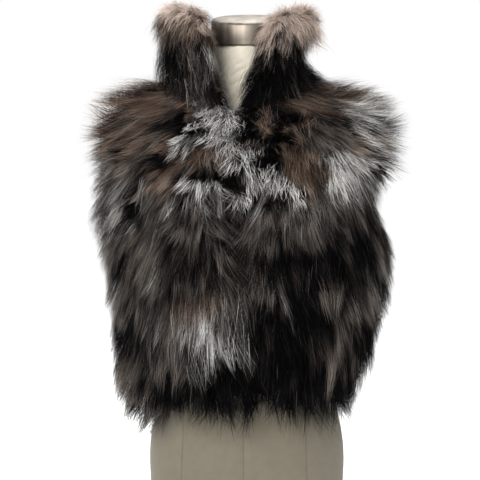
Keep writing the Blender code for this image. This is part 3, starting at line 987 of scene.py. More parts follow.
@dataclass
class PlateChart:
    """The plates of one side of the vest, read at many places at once.

    Attributes:
        plates: the plates.
        crease_edge: how far out a plate's sink reaches, in half sizes of the plate.
        fan_edge: how far out its combing goes on fanning, in half widths.
    """

    plates: tuple[Plate, ...]
    crease_edge: float = 1.6
    fan_edge: float = 1.2

    def __post_init__(self) -> None:
        """Sets the plates' columns out as arrays."""
        self.middle = np.array([(plate.x, plate.z) for plate in self.plates])
        self.half = np.array([(plate.half_width, plate.half_height) for plate in self.plates])
        self.comb = np.array([plate.comb for plate in self.plates])
        self.fan = np.array([plate.fan for plate in self.plates])
        self.sink = np.array([plate.sink for plate in self.plates])
        self.tone = np.array([plate.tone.value for plate in self.plates])
        self.short = np.array([plate.short for plate in self.plates])

    def plate_at(self, points: Array) -> Array:
        """Returns the number of the plate that holds each point."""
        away = (points[:, None, (0, 2)] - self.middle[None]) / self.half[None]
        return np.argmin(np.sum(away * away, axis=2), axis=1)

    def upstream(self, points: Array, run: float) -> Array:
        """Returns the points, moved back along the combing: hair shows some way before its tip."""
        return points - run * downward(self.combing(points, self.plate_at(points)))

    def crease(self, points: Array, plates: Array) -> Array:
        """Returns how far the coat at each point lies down in a crease."""
        away = (points[:, (0, 2)] - self.middle[plates]) / self.half[plates]
        return self.sink[plates] * smooth_step(self.crease_edge - np.linalg.norm(away, axis=1))

    def combing(self, points: Array, plates: Array) -> Array:
        """Returns the degrees that the hair at each point turns from straight down."""
        across = (points[:, 0] - self.middle[plates, 0]) / self.half[plates, 0]
        return self.comb[plates] + self.fan[plates] * np.clip(across, -self.fan_edge, self.fan_edge)

    def down_plate(self, points: Array, plates: Array) -> Array:
        """Finds how far down its plate's combing each point is.

        Args:
            points: the points, one a row.
            plates: number of each point's plate.

        Returns:
            Shares of the plate's half size, from -1 at the top to 1 at the foot.
        """
        comb = downward(self.comb[plates])[:, (0, 2)]
        away = points[:, (0, 2)] - self.middle[plates]
        reach = np.linalg.norm(self.half[plates] * comb, axis=1)
        return np.sum(away * comb, axis=1) / reach


@dataclass(frozen=True)
class HairKind:
    """Shape of one kind of hair.

    Attributes:
        rings: shares of its length at which it has a ring of three points.
        length: shortest and longest run along the fur.
        half_width: half its width where it is widest.
        pull: least and most share of the way that a tip is drawn to its lock's tip.
        past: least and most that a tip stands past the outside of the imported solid.
        wave: sideways wander of its rings.
        reach: share of the colour chart, from root to tip, that the hair uses.
    """

    rings: tuple[float, ...]
    length: tuple[float, float]
    half_width: float
    pull: tuple[float, float]
    past: tuple[float, float]
    wave: float
    reach: float = 1.0


# The under hair reaches only the darker part of the colour chart: partly the underfur's own darker colour,
# partly painted shade deep in the coat between the tufts.
COAT_HAIR = {
    "guard_hair": HairKind((0.50,), (0.045, 0.085), 0.00029, (0.0, 0.60), (-0.007, 0.006), 0.0018),
    "under_hair": HairKind((0.48,), (0.030, 0.060), 0.00070, (0.0, 0.45), (-0.018, -0.005), 0.0016, 0.55),
    "stray_hair": HairKind((0.50,), (0.055, 0.095), 0.00022, (0.0, 0.15), (0.003, 0.016), 0.0030),
}
# As on the coat, the collar's under hair stops short on the colour chart: partly its own darker colour,
# partly painted shade deep in the fur.
COLLAR_HAIR = {
    "guard_hair": HairKind((0.50,), (0.028, 0.056), 0.00027, (0.0, 0.12), (-0.008, 0.006), 0.0022),
    "under_hair": HairKind((0.48,), (0.020, 0.040), 0.00060, (0.0, 0.12), (-0.012, -0.002), 0.0020, 0.80),
    "stray_hair": HairKind((0.50,), (0.035, 0.060), 0.00025, (0.0, 0.10), (0.002, 0.012), 0.0030),
}


@dataclass(frozen=True)
class ClumpKind:
    """How clumps of hair of one size lie.

    Attributes:
        spacing: metres from one clump to the next.
        turn: common size of the clumps' turns, in degrees.
        shade: common size of their changes of shade.
        lift: common size of their lifts.
        pull: share of the way that locks are drawn to the clump's tip.
    """

    spacing: float
    turn: float
    shade: float
    lift: float
    pull: float = 0.0


# Tufts, the wisps that make them up, and the locks of the wisps.
COAT_CLUMPS = (
    ClumpKind(0.030, 6.0, 0.18, 0.0042, 0.16),
    ClumpKind(0.012, 4.0, 0.16, 0.0022, 0.30),
    ClumpKind(0.0055, 5.0, 0.26, 0.0012),
)
COLLAR_CLUMPS = (
    ClumpKind(0.022, 6.0, 0.18, 0.0015),
    ClumpKind(0.012, 4.0, 0.16, 0.0010),
    ClumpKind(0.006, 5.0, 0.26, 0.0012),
)


@dataclass
class Clumps:
    """Points that neighbouring hair is drawn to, and what the hair of each clump shares.

    Attributes:
        tips: where the clumps end.
        turn: degrees that each clump's hair turns from its plate's combing.
        shade: how much paler each clump's hair is.
        lift: how much each clump stands out.
    """

    tips: Array
    turn: Array
    shade: Array
    lift: Array

    def clump_at(self, points: Array) -> Array:
        """Finds the clump nearest to each point.

        Args:
            points: the points, one a row.

        Returns:
            The clumps' numbers.
        """
        tree = KDTree(len(self.tips))
        for number, tip in enumerate(self.tips.tolist()):
            tree.insert(tip, number)
        tree.balance()
        return np.array([tree.find(point)[1] for point in points.tolist()])


@dataclass
class Strands:
    """Hairs of one kind as they are laid out, one a row.

    Attributes:
        places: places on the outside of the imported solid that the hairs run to.
        normals: the outward normals there.
        shown: where the hairs show.
        locks: number of each hair's lock.
        plates: number of its plate.
        combing: degrees that it is combed from straight down.
        short: whether it is short.
    """

    places: Array
    normals: Array
    shown: Array
    locks: Array
    plates: Array
    combing: Array
    short: Array


@dataclass
class FurPiece:
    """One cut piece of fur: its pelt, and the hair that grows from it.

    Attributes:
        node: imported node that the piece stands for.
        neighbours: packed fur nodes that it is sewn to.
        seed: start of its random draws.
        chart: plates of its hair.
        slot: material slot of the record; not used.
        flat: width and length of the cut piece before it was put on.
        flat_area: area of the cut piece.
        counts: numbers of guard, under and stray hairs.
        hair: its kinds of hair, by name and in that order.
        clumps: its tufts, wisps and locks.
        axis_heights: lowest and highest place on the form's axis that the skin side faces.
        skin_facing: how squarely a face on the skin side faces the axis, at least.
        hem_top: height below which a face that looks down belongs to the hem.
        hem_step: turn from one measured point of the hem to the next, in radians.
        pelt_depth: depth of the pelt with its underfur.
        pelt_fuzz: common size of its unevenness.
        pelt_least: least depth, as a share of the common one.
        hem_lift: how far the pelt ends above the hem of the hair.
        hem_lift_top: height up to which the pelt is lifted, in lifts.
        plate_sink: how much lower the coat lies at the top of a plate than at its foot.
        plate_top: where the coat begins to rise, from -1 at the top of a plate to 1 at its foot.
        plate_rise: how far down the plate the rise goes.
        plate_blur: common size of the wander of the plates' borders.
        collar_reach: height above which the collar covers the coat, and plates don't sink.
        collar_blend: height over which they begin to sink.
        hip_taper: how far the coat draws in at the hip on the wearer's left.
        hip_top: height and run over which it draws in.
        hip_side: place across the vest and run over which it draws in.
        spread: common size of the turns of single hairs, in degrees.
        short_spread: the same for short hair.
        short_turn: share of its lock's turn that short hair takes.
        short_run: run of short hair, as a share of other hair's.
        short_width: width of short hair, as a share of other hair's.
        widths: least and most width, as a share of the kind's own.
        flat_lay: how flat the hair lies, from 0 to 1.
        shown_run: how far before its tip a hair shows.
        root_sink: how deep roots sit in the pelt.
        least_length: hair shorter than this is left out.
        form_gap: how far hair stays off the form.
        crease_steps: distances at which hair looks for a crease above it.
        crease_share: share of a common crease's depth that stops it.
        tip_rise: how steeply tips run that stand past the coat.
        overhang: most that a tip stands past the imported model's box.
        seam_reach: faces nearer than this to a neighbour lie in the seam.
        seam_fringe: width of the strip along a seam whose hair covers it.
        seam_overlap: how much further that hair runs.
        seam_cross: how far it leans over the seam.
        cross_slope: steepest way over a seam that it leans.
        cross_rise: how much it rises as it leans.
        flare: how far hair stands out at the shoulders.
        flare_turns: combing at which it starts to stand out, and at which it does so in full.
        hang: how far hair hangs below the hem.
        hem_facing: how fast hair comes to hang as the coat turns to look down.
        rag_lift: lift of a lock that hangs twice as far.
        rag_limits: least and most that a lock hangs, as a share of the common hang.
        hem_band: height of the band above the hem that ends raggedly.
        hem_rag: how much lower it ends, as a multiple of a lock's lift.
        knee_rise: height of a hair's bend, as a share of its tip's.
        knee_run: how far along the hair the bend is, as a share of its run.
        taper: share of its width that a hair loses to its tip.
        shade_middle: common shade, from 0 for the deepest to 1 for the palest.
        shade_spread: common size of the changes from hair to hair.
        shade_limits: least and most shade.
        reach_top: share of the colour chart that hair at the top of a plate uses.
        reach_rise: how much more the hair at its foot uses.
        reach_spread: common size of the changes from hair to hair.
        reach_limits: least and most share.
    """

    node: str
    neighbours: tuple[str, ...]
    seed: int
    chart: PlateChart
    slot: str
    flat: tuple[float, float]
    flat_area: float
    counts: tuple[int, int, int]
    hair: dict[str, HairKind] = field(default_factory=lambda: COAT_HAIR)
    clumps: tuple[ClumpKind, ...] = COAT_CLUMPS
    axis_heights: tuple[float, float] = (0.20, 0.62)
    skin_facing: float = 0.35
    hem_top: float = 0.32
    hem_step: float = 0.07
    pelt_depth: float = 0.013
    pelt_fuzz: float = 0.0015
    pelt_least: float = 0.5
    hem_lift: float = 0.020
    hem_lift_top: float = 1.5
    plate_sink: float = 0.012
    plate_top: float = -1.15
    plate_rise: float = 1.3
    plate_blur: float = 0.006
    collar_reach: float = 0.715
    collar_blend: float = 0.05
    hip_taper: float = 0.026
    hip_top: tuple[float, float] = (0.37, 0.10)
    hip_side: tuple[float, float] = (0.12, 0.07)
    spread: float = 6.0
    short_spread: float = 7.0
    short_turn: float = 0.3
    short_run: float = 0.60
    short_width: float = 1.15
    widths: tuple[float, float] = (0.75, 1.3)
    flat_lay: float = 0.86
    shown_run: float = 0.014
    root_sink: float = 0.002
    least_length: float = 0.008
    form_gap: float = 0.0025
    crease_steps: tuple[float, ...] = (0.010, 0.020, 0.030, 0.040, 0.050)
    crease_share: float = 0.3
    tip_rise: float = 0.6
    overhang: float = 0.020
    seam_reach: float = 0.0015
    seam_fringe: float = 0.022
    seam_overlap: float = 0.010
    seam_cross: float = 0.026
    cross_slope: float = 0.7
    cross_rise: float = 0.3
    flare: float = 0.007
    flare_turns: tuple[float, float] = (30.0, 60.0)
    hang: float = 0.023
    hem_facing: float = 1.6
    rag_lift: float = 0.005
    rag_limits: tuple[float, float] = (0.2, 2.4)
    hem_band: float = 0.06
    hem_rag: float = 2.0
    knee_rise: float = 0.85
    knee_run: float = 0.22
    taper: float = 0.45
    shade_middle: float = 0.45
    shade_spread: float = 0.30
    shade_limits: tuple[float, float] = (0.06, 0.94)
    reach_top: float = 0.80
    reach_rise: float = 0.20
    reach_spread: float = 0.04
    reach_limits: tuple[float, float] = (0.1, 1.0)

    def __post_init__(self) -> None:
        """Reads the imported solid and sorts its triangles."""
        self.rng = np.random.default_rng(SEED + self.seed)
        self.points, self.triangles = welded(self.node)
        corners = self.points[self.triangles]
        cross = np.cross(corners[:, 1] - corners[:, 0], corners[:, 2] - corners[:, 0])
        self.areas = np.linalg.norm(cross, axis=1) / 2.0
        centres = corners.mean(axis=1)
        normals = unit(cross)
        self.seam_trees = [surface_tree(*welded(other)) for other in self.neighbours]
        seam = self.to_seam(centres)[0] < self.seam_reach
        self.skin = self.faces_skin(centres, normals) & ~seam
        self.open = ~self.skin & ~seam
        summed = np.zeros_like(self.points)
        for corner in range(3):
            np.add.at(summed, self.triangles[self.open, corner], cross[self.open])
        self.outward = unit(summed)
        steps = np.round(around(self.points) / self.hem_step).astype(int)
        self.hem_turns = np.unique(steps) * self.hem_step
        self.hem_heights = np.array([self.points[steps == step, 2].min() for step in np.unique(steps)])

    def above_hem(self, points: Array) -> Array:
        """Returns how far each point is above the hem below it."""
        return points[:, 2] - np.interp(around(points), self.hem_turns, self.hem_heights)

    def to_seam(self, points: Array) -> tuple[Array, Array]:
        """Finds the nearest place on the pieces that this one is sewn to.

        Args:
            points: the points, one a row.

        Returns:
            How far each point is from there, and the direction to there.
        """
        found = [nearest(tree, points) for tree in self.seam_trees]
        distances = np.stack([item[2] for item in found])
        closest = (np.argmin(distances, axis=0), np.arange(len(points)))
        places = np.stack([item[0] for item in found])[closest]
        return distances[closest], unit(places - points)

    def faces_skin(self, centres: Array, normals: Array) -> Array:
        """Tells which triangles lie against the form.

        Args:
            centres: middles of the triangles.
            normals: their normals.

        Returns:
            True for each triangle on the skin side.
        """
        axis = np.zeros_like(centres)
        axis[:, 2] = np.clip(centres[:, 2], *self.axis_heights)
        inward = np.sum(unit(axis - centres) * normals, axis=1) > self.skin_facing
        hem = (centres[:, 2] < self.hem_top) & (normals[:, 2] < -self.skin_facing)
        return inward & ~hem

    def sample(self, count: int) -> tuple[Array, Array]:
        """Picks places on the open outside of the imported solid.

        Args:
            count: how many.

        Returns:
            The places and the outward normals there.
        """
        faces = self.triangles[self.open]
        weights = self.areas[self.open]
        chosen = faces[self.rng.choice(len(faces), count, p=weights / weights.sum())]
        root = np.sqrt(self.rng.random(count))
        second = self.rng.random(count)
        shares = np.stack([1.0 - root, root * (1.0 - second), root * second], axis=1)
        places = np.sum(self.points[chosen] * shares[..., None], axis=1)
        normals = unit(np.sum(self.outward[chosen] * shares[..., None], axis=1))
        return places, normals

    def build_pelt(self, finish: bpy.types.Material) -> bpy.types.Object:
        """Makes the pelt with its matted underfur, close to the form.

        Args:
            finish: the underfur's material.

        Returns:
            The pelt.
        """
        mesh = bpy.data.meshes.new(f"{self.node}_pelt")
        mesh.from_pydata(self.thin().tolist(), [], self.triangles.tolist())
        pelt = add_object(mesh.name, mesh)
        make_active(pelt)
        bpy.ops.object.shade_smooth()
        mesh.materials.append(finish)
        self.pelt_tree = surface_tree(vertex_rows(mesh), triangle_rows(mesh))
        return pelt

    def thin(self) -> Array:
        """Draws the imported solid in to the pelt's depth from the skin side.

        Returns:
            The solid's points after that.
        """
        skin, _, depths = nearest(surface_tree(self.points, self.triangles[self.skin]), self.points)
        fuzz = self.rng.normal(0.0, self.pelt_fuzz, len(self.points))
        limit = np.maximum(self.pelt_depth + fuzz, self.pelt_least * self.pelt_depth)
        share = np.minimum(1.0, limit / np.maximum(depths, SMALLEST))
        thin = skin + (self.points - skin) * share[:, None]
        hem = smooth_step(self.hem_lift_top - self.above_hem(self.points) / self.hem_lift)
        thin[:, 2] += self.hem_lift * hem
        return thin

    def relief(self, points: Array, plates: Array) -> Array:
        """Finds how far the coat stands out: plate tops, creases and the hip lie lower.

        Args:
            points: the points, one a row.
            plates: number of each point's plate.

        Returns:
            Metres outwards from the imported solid.
        """
        top = 1.0 - smooth_step((self.chart.down_plate(points, plates) - self.plate_top) / self.plate_rise)
        below_collar = smooth_step((self.collar_reach - points[:, 2]) / self.collar_blend)
        low = smooth_step((self.hip_top[0] - points[:, 2]) / self.hip_top[1])
        side = smooth_step((points[:, 0] - self.hip_side[0]) / self.hip_side[1])
        sunk = self.plate_sink * top * below_collar + self.chart.crease(points, plates)
        return -sunk - self.hip_taper * (low * side)

    def scatter(self, kind: ClumpKind) -> tuple[Array, Clumps]:
        """Spreads clumps of hair over the outside.

        Args:
            kind: how they lie.

        Returns:
            The outward normals at the clumps, and the clumps.
        """
        count = int(self.areas[self.open].sum() / kind.spacing**2)
        places, normals = self.sample(count)
        draws = self.rng.normal(size=(3, count)) * np.array([[kind.turn], [kind.shade], [kind.lift]])
        return normals, Clumps(places, *draws)

    def make_locks(self) -> None:
        """Spreads tufts over the outside, the wisps that make them up, and the locks of the wisps."""
        (_, tufts), (_, wisps), (normals, locks) = [self.scatter(kind) for kind in self.clumps]
        shown = self.chart.upstream(locks.tips, self.shown_run)
        self.plates = self.chart.plate_at(shown + self.rng.normal(0.0, self.plate_blur, shown.shape))
        places = locks.tips.copy()
        for kind, wider in zip(self.clumps, (tufts, wisps)):
            near = wider.clump_at(places)
            locks.turn += wider.turn[near]
            locks.shade += wider.shade[near]
            locks.lift += wider.lift[near]
            locks.tips += (wider.tips[near] - places) * kind.pull
        draw = self.rng.random(len(wisps.tips))[near]
        self.tones = mixed(self.chart.tone[self.plates], WISP_MIX, draw)
        locks.tips += normals * (self.relief(shown, self.plates) + locks.lift)[:, None]
        self.locks = locks

    def lay(self, places: Array, normals: Array, turns: Array) -> Array:
        """Finds which way hair points as it leaves the coat.

        Args:
            places: places on the outside.
            normals: the outward normals there.
            turns: degrees that the hair turns from straight down.

        Returns:
            Directions of length one.
        """
        down = downward(turns)
        along = down - normals * dot(down, normals)
        return unit(self.flat_lay * along + (1.0 - self.flat_lay) * normals)

    def grow(self, kind: HairKind, count: int, form: BVHTree) -> tuple[Array, Array]:
        """Grows one kind of hair.

        Args:
            kind: the hair's shape.
            count: how many hairs.
            form: the dress form's surface, which hair stays out of.

        Returns:
            The hairs' points, level by level, and the place of each hair on the colour chart.
        """
        places, normals = self.sample(count)
        shown = self.chart.upstream(places, self.shown_run)
        locks = self.locks.clump_at(places)
        plates = self.plates[locks]
        short = self.chart.short[plates]
        strands = Strands(places, normals, shown, locks, plates, self.chart.combing(shown, plates), short)
        turns = self.rng.normal(0.0, 1.0, count) * np.where(short, self.short_spread, self.spread)
        turns = turns + self.locks.turn[locks] * np.where(short, self.short_turn, 1.0)
        lay = self.lay(places, normals, strands.combing + turns)
        run = self.rng.uniform(*kind.length, count) * np.where(short, self.short_run, 1.0)
        run = self.clear_creases(strands, run)
        roots, root_normals, _ = nearest(self.pelt_tree, places - lay * run[:, None])
        roots = roots - root_normals * self.root_sink
        tips = self.place_tips(kind, strands, lay)
        long_enough = np.linalg.norm(tips - roots, axis=1) > self.least_length
        chart = self.colour(kind, strands)
        width = kind.half_width * self.rng.uniform(*self.widths, count)
        width = width * np.where(short, self.short_width, 1.0)
        levels = self.bend(kind, width[:, None], roots, tips, normals, form)
        return levels[long_enough], chart[long_enough]

    def place_tips(self, kind: HairKind, strands: Strands, lay: Array) -> Array:
        """Finds where hairs end: in their locks, over the seams, and past the hem and the shoulders.

        Args:
            kind: the hair's shape.
            strands: the hairs.
            lay: directions in which they run.

        Returns:
            The tips, one a row.
        """
        count = len(strands.places)
        normals = strands.normals
        lift = self.relief(strands.shown, strands.plates) + self.locks.lift[strands.locks]
        tips = strands.places + normals * lift[:, None]
        pull = self.rng.uniform(*kind.pull, count) * ~strands.short
        tips = tips + (self.locks.tips[strands.locks] - tips) * pull[:, None]
        seam, across = self.to_seam(strands.places)
        near_seam = smooth_step(1.0 - seam / self.seam_fringe)
        fringe = self.fringe(strands) + self.seam_overlap * near_seam
        past = self.rng.uniform(*kind.past, count) + self.rng.random(count) * fringe
        tips = tips + unit(lay + self.tip_rise * normals) * past[:, None]
        level = np.abs(across[:, 2]) < self.cross_slope
        crossing = self.seam_cross * self.rng.random(count) * near_seam * level
        tips = tips + (across + self.cross_rise * normals) * crossing[:, None]
        tips[:, 2] -= self.ragged_hem(strands) * (1.0 - near_seam)
        return held_in(tips, self.overhang)

    def colour(self, kind: HairKind, strands: Strands) -> Array:
        """Gives each hair its place on the colour chart.

        Args:
            kind: the hair's shape.
            strands: the hairs.

        Returns:
            Tone number, shade and reach of each hair, one hair a row.
        """
        count = len(strands.places)
        tones = mixed(self.tones[strands.locks], HAIR_MIX, self.rng.random(count))
        shade = self.shade_middle + self.locks.shade[strands.locks]
        shade = shade + self.rng.normal(0.0, self.shade_spread, count)
        down = smooth_step((self.chart.down_plate(strands.shown, strands.plates) + 1.0) / 2.0)
        reach = kind.reach * (self.reach_top + self.reach_rise * down)
        reach = reach + self.rng.normal(0.0, self.reach_spread, count)
        shade = np.clip(shade, *self.shade_limits)
        reach = np.clip(reach, *self.reach_limits)
        return np.stack([tones.astype(float), shade, reach], axis=1)

    def fringe(self, strands: Strands) -> Array:
        """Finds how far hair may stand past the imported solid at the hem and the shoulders.

        Args:
            strands: the hairs.

        Returns:
            The most that each tip may stand past.
        """
        ragged = np.clip(1.0 + self.locks.lift[strands.locks] / self.rag_lift, *self.rag_limits)
        hem = self.hang * ragged * smooth_step(-self.hem_facing * strands.normals[:, 2])
        start, full = self.flare_turns
        shoulder = self.flare * smooth_step((np.abs(strands.combing) - start) / (full - start))
        return hem + shoulder

    def ragged_hem(self, strands: Strands) -> Array:
        """Returns how much lower each hair near the hem ends, tuft by tuft."""
        low = smooth_step(1.0 - self.above_hem(strands.places) / self.hem_band)
        return low * self.hem_rag * self.locks.lift[strands.locks]

    def clear_creases(self, strands: Strands, run: Array) -> Array:
        """Shortens hair that would lie across a crease above it.

        Args:
            strands: the hairs.
            run: how far they run along the fur.

        Returns:
            The shorter runs.
        """
        down = downward(strands.combing)
        for step in self.crease_steps:
            above = strands.shown - step * down
            deep = self.chart.crease(above, self.chart.plate_at(above)) > self.crease_share * CREASE
            run = np.where(deep, np.minimum(run, step + self.shown_run), run)
        return run

    def bend(
        self, kind: HairKind, width: Array, roots: Array, tips: Array, normals: Array, form: BVHTree
    ) -> Array:
        """Bends hairs from their roots up and over to their tips.

        Args:
            kind: the hair's shape.
            width: half the width of each hair, as a column.
            roots: where the hairs leave the pelt.
            tips: where they end.
            normals: outward directions.
            form: the dress form's surface.

        Returns:
            Points of each hair: its root, three for each ring, and its tip.
        """
        rise = normals * dot(tips - roots, normals)
        knee = roots + self.knee_rise * rise + self.knee_run * (tips - roots - rise)
        levels = [roots]
        for share in kind.rings:
            middle = (1 - share) ** 2 * roots + 2 * share * (1 - share) * knee + share**2 * tips
            ahead = unit((1 - share) * (knee - roots) + share * (tips - knee))
            middle = middle + self.rng.normal(0.0, kind.wave, middle.shape)
            middle = self.clear_form(middle, form)
            side = unit(np.cross(ahead, normals))
            up = np.cross(side, ahead)
            half = width * (1.0 - self.taper * share)
            for across, above in HAIR_SECTION:
                levels.append(middle + side * half * across + up * half * above)
        levels.append(self.clear_form(tips, form))
        return np.stack(levels, axis=1)

    def clear_form(self, points: Array, form: BVHTree) -> Array:
        """Keeps points off the dress form.

        Args:
            points: the points, one a row.
            form: the dress form's surface.

        Returns:
            The points, with those inside the form or close to it moved just off it.
        """
        places, normals, _ = nearest(form, points)
        height = dot(points - places, normals)
        return points + normals * np.maximum(self.form_gap - height, 0.0)

    def build_hair(
        self, name: str, levels: Array, chart: Array, finish: bpy.types.Material
    ) -> bpy.types.Object:
        """Joins hairs into one closed mesh.

        Args:
            name: the piece's name.
            levels: points of each hair, from root to tip.
            chart: tone, shade and reach of each hair on the colour chart.
            finish: the hair's material.

        Returns:
            The piece.
        """
        hairs, size = levels.shape[:2]
        faces = np.array(hair_faces((size - 2) // 3))
        corners = (np.arange(hairs)[:, None, None] * size + faces[None]).reshape(-1)
        mesh = bpy.data.meshes.new(name)
        mesh.vertices.add(hairs * size)
        mesh.vertices.foreach_set("co", levels.astype(np.float32).ravel())
        mesh.loops.add(len(corners))
        mesh.loops.foreach_set("vertex_index", corners.astype(np.int32))
        mesh.polygons.add(len(corners) // 3)
        mesh.polygons.foreach_set("loop_start", np.arange(0, len(corners), 3, dtype=np.int32))
        mesh.polygons.foreach_set("use_smooth", np.ones(len(corners) // 3, dtype=bool))
        mesh.update(calc_edges=True)
        spots = self.chart_places(levels, chart)
        layer = mesh.uv_layers.new(name=HAIR_MAP)
        layer.data.foreach_set("uv", spots.reshape(-1, 2)[corners].astype(np.float32).ravel())
        mesh.materials.append(finish)
        return add_object(name, mesh)

    def chart_places(self, levels: Array, chart: Array) -> Array:
        """Finds each hair point's place on the colour chart.

        Args:
            levels: points of each hair, from root to tip.
            chart: tone, shade and reach of each hair.

        Returns:
            For each point, tone and shade across and the way from root to tip up.
        """
        hairs, size = levels.shape[:2]
        rings = [slice(start, start + 3) for start in range(1, size - 1, 3)]
        middles = [levels[:, 0], *(levels[:, ring].mean(axis=1) for ring in rings), levels[:, -1]]
        steps = [np.linalg.norm(b - a, axis=1) for a, b in zip(middles, middles[1:])]
        run = np.cumsum(np.stack([np.zeros(hairs), *steps], axis=1), axis=1)
        run = run / run[:, -1:]
        spots = np.zeros((hairs, size, 2))
        spots[:, :, 0] = chart[:, 1:2]
        for number, ring in enumerate(rings, 1):
            spots[:, ring, 0] += SIDE_SHADES
            spots[:, ring, 1] = run[:, number, None]
        spots[:, -1, 1] = 1.0
        spots[:, :, 1] *= chart[:, 2:]
        spots[:, :, 0] = (chart[:, :1] + spots[:, :, 0]) / len(FurTone)
        return spots

    def build(
        self, pelt_finish: bpy.types.Material, hair_finish: bpy.types.Material, form: BVHTree
    ) -> None:
        """Args:
            pelt_finish: the underfur's material.
            hair_finish: the hair's material.
            form: the dress form's surface.
        """
        pelt = self.build_pelt(pelt_finish)
        self.make_locks()
        share = 1.0
        pieces = []
        for (name, kind), count in zip(self.hair.items(), self.counts):
            levels, chart = self.grow(kind, int(count * share), form)
            pieces.append(self.build_hair(f"{self.node}_{name}", levels, chart, hair_finish))
        for piece in (pelt, *pieces):
            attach(piece, BODY)
            LOG.info("%s: %d triangles", piece.name, len(piece.data.polygons))
        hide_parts(self.node)


def hair_faces(rings: int) -> list[tuple[int, int, int]]:
    """Lists the triangles of one closed hair.

    Args:
        rings: number of rings of three points between its root and its tip.

    Returns:
        Rows of three point numbers, facing outwards.
    """
    faces = []
    for side in range(3):
        after = (side + 1) % 3
        faces.append((0, 1 + after, 1 + side))
        for ring in range(rings - 1):
            low, high = 1 + 3 * ring, 4 + 3 * ring
            faces.append((low + side, low + after, high + after))
            faces.append((low + side, high + after, high + side))
        last = 1 + 3 * (rings - 1)
        faces.append((last + side, last + after, 1 + 3 * rings))
    return faces


@dataclass
class FurCollar(FurPiece):
    """Half of the stand collar, furred on both sides, with hair that stands out from its rolled top.

    Attributes:
        stem_top: height up to which hair runs down the stem.
        roll_bottom: height from which it stands out of the roll.
        roll_out: how much it stands outwards there.
        roll_up: how much it stands upwards.
        roll_along: how much it runs on as it does on the stem.
        drawn_in: share of the collar's depth that the pelt is drawn in from each side.
        draw_heights: two heights up the collar.
        draw_limits: most that the pelt is drawn in at those heights.
        ray_start: how far inside its surface the depth is measured from.
    """

    hair: dict[str, HairKind] = field(default_factory=lambda: COLLAR_HAIR)
    clumps: tuple[ClumpKind, ...] = COLLAR_CLUMPS
    plate_sink: float = 0.0
    plate_blur: float = 0.012
    spread: float = 9.0
    flat_lay: float = 0.80
    shown_run: float = 0.008
    seam_fringe: float = 0.034
    seam_overlap: float = 0.034
    seam_cross: float = 0.0
    flare: float = 0.014
    hem_rag: float = 0.0
    stem_top: float = 0.775
    roll_bottom: float = 0.835
    roll_out: float = 0.50
    roll_up: float = 0.12
    roll_along: float = 0.50
    drawn_in: float = 0.36
    draw_heights: tuple[float, float] = (0.715, 0.770)
    draw_limits: tuple[float, float] = (0.028, 0.028)
    ray_start: float = 0.0005

    def faces_skin(self, centres: Array, normals: Array) -> Array:
        """Returns False for each triangle: a collar has fur on both sides."""
        return np.zeros(len(centres), dtype=bool)

    def thin(self) -> Array:
        """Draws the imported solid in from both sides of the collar.

        Returns:
            The solid's points after that.
        """
        tree = surface_tree(self.points, self.triangles)
        moved = self.points.copy()
        limits = np.interp(self.points[:, 2], self.draw_heights, self.draw_limits)
        for number, (point, way) in enumerate(zip(self.points.tolist(), (-self.outward).tolist())):
            start = Vector(point) + self.ray_start * Vector(way)
            hit = tree.ray_cast(start, Vector(way))
            depth = hit[3] if hit[0] is not None else 0.0
            moved[number] -= self.outward[number] * min(self.drawn_in * depth, limits[number])
        return moved

    def lay(self, places: Array, normals: Array, turns: Array) -> Array:
        """Finds which way hair points: down the stem, and out and up on the roll.

        Args:
            places: places on the outside.
            normals: the outward normals there.
            turns: degrees that the hair turns from straight down.

        Returns:
            Directions of length one.
        """
        stem = super().lay(places, normals, turns)
        upward = np.array([0.0, 0.0, 1.0])
        roll = unit(self.roll_out * normals + self.roll_up * upward + self.roll_along * stem)
        height = (places[:, 2] - self.stem_top) / (self.roll_bottom - self.stem_top)
        share = smooth_step(height)[:, None]
        return unit((1.0 - share) * stem + share * roll)


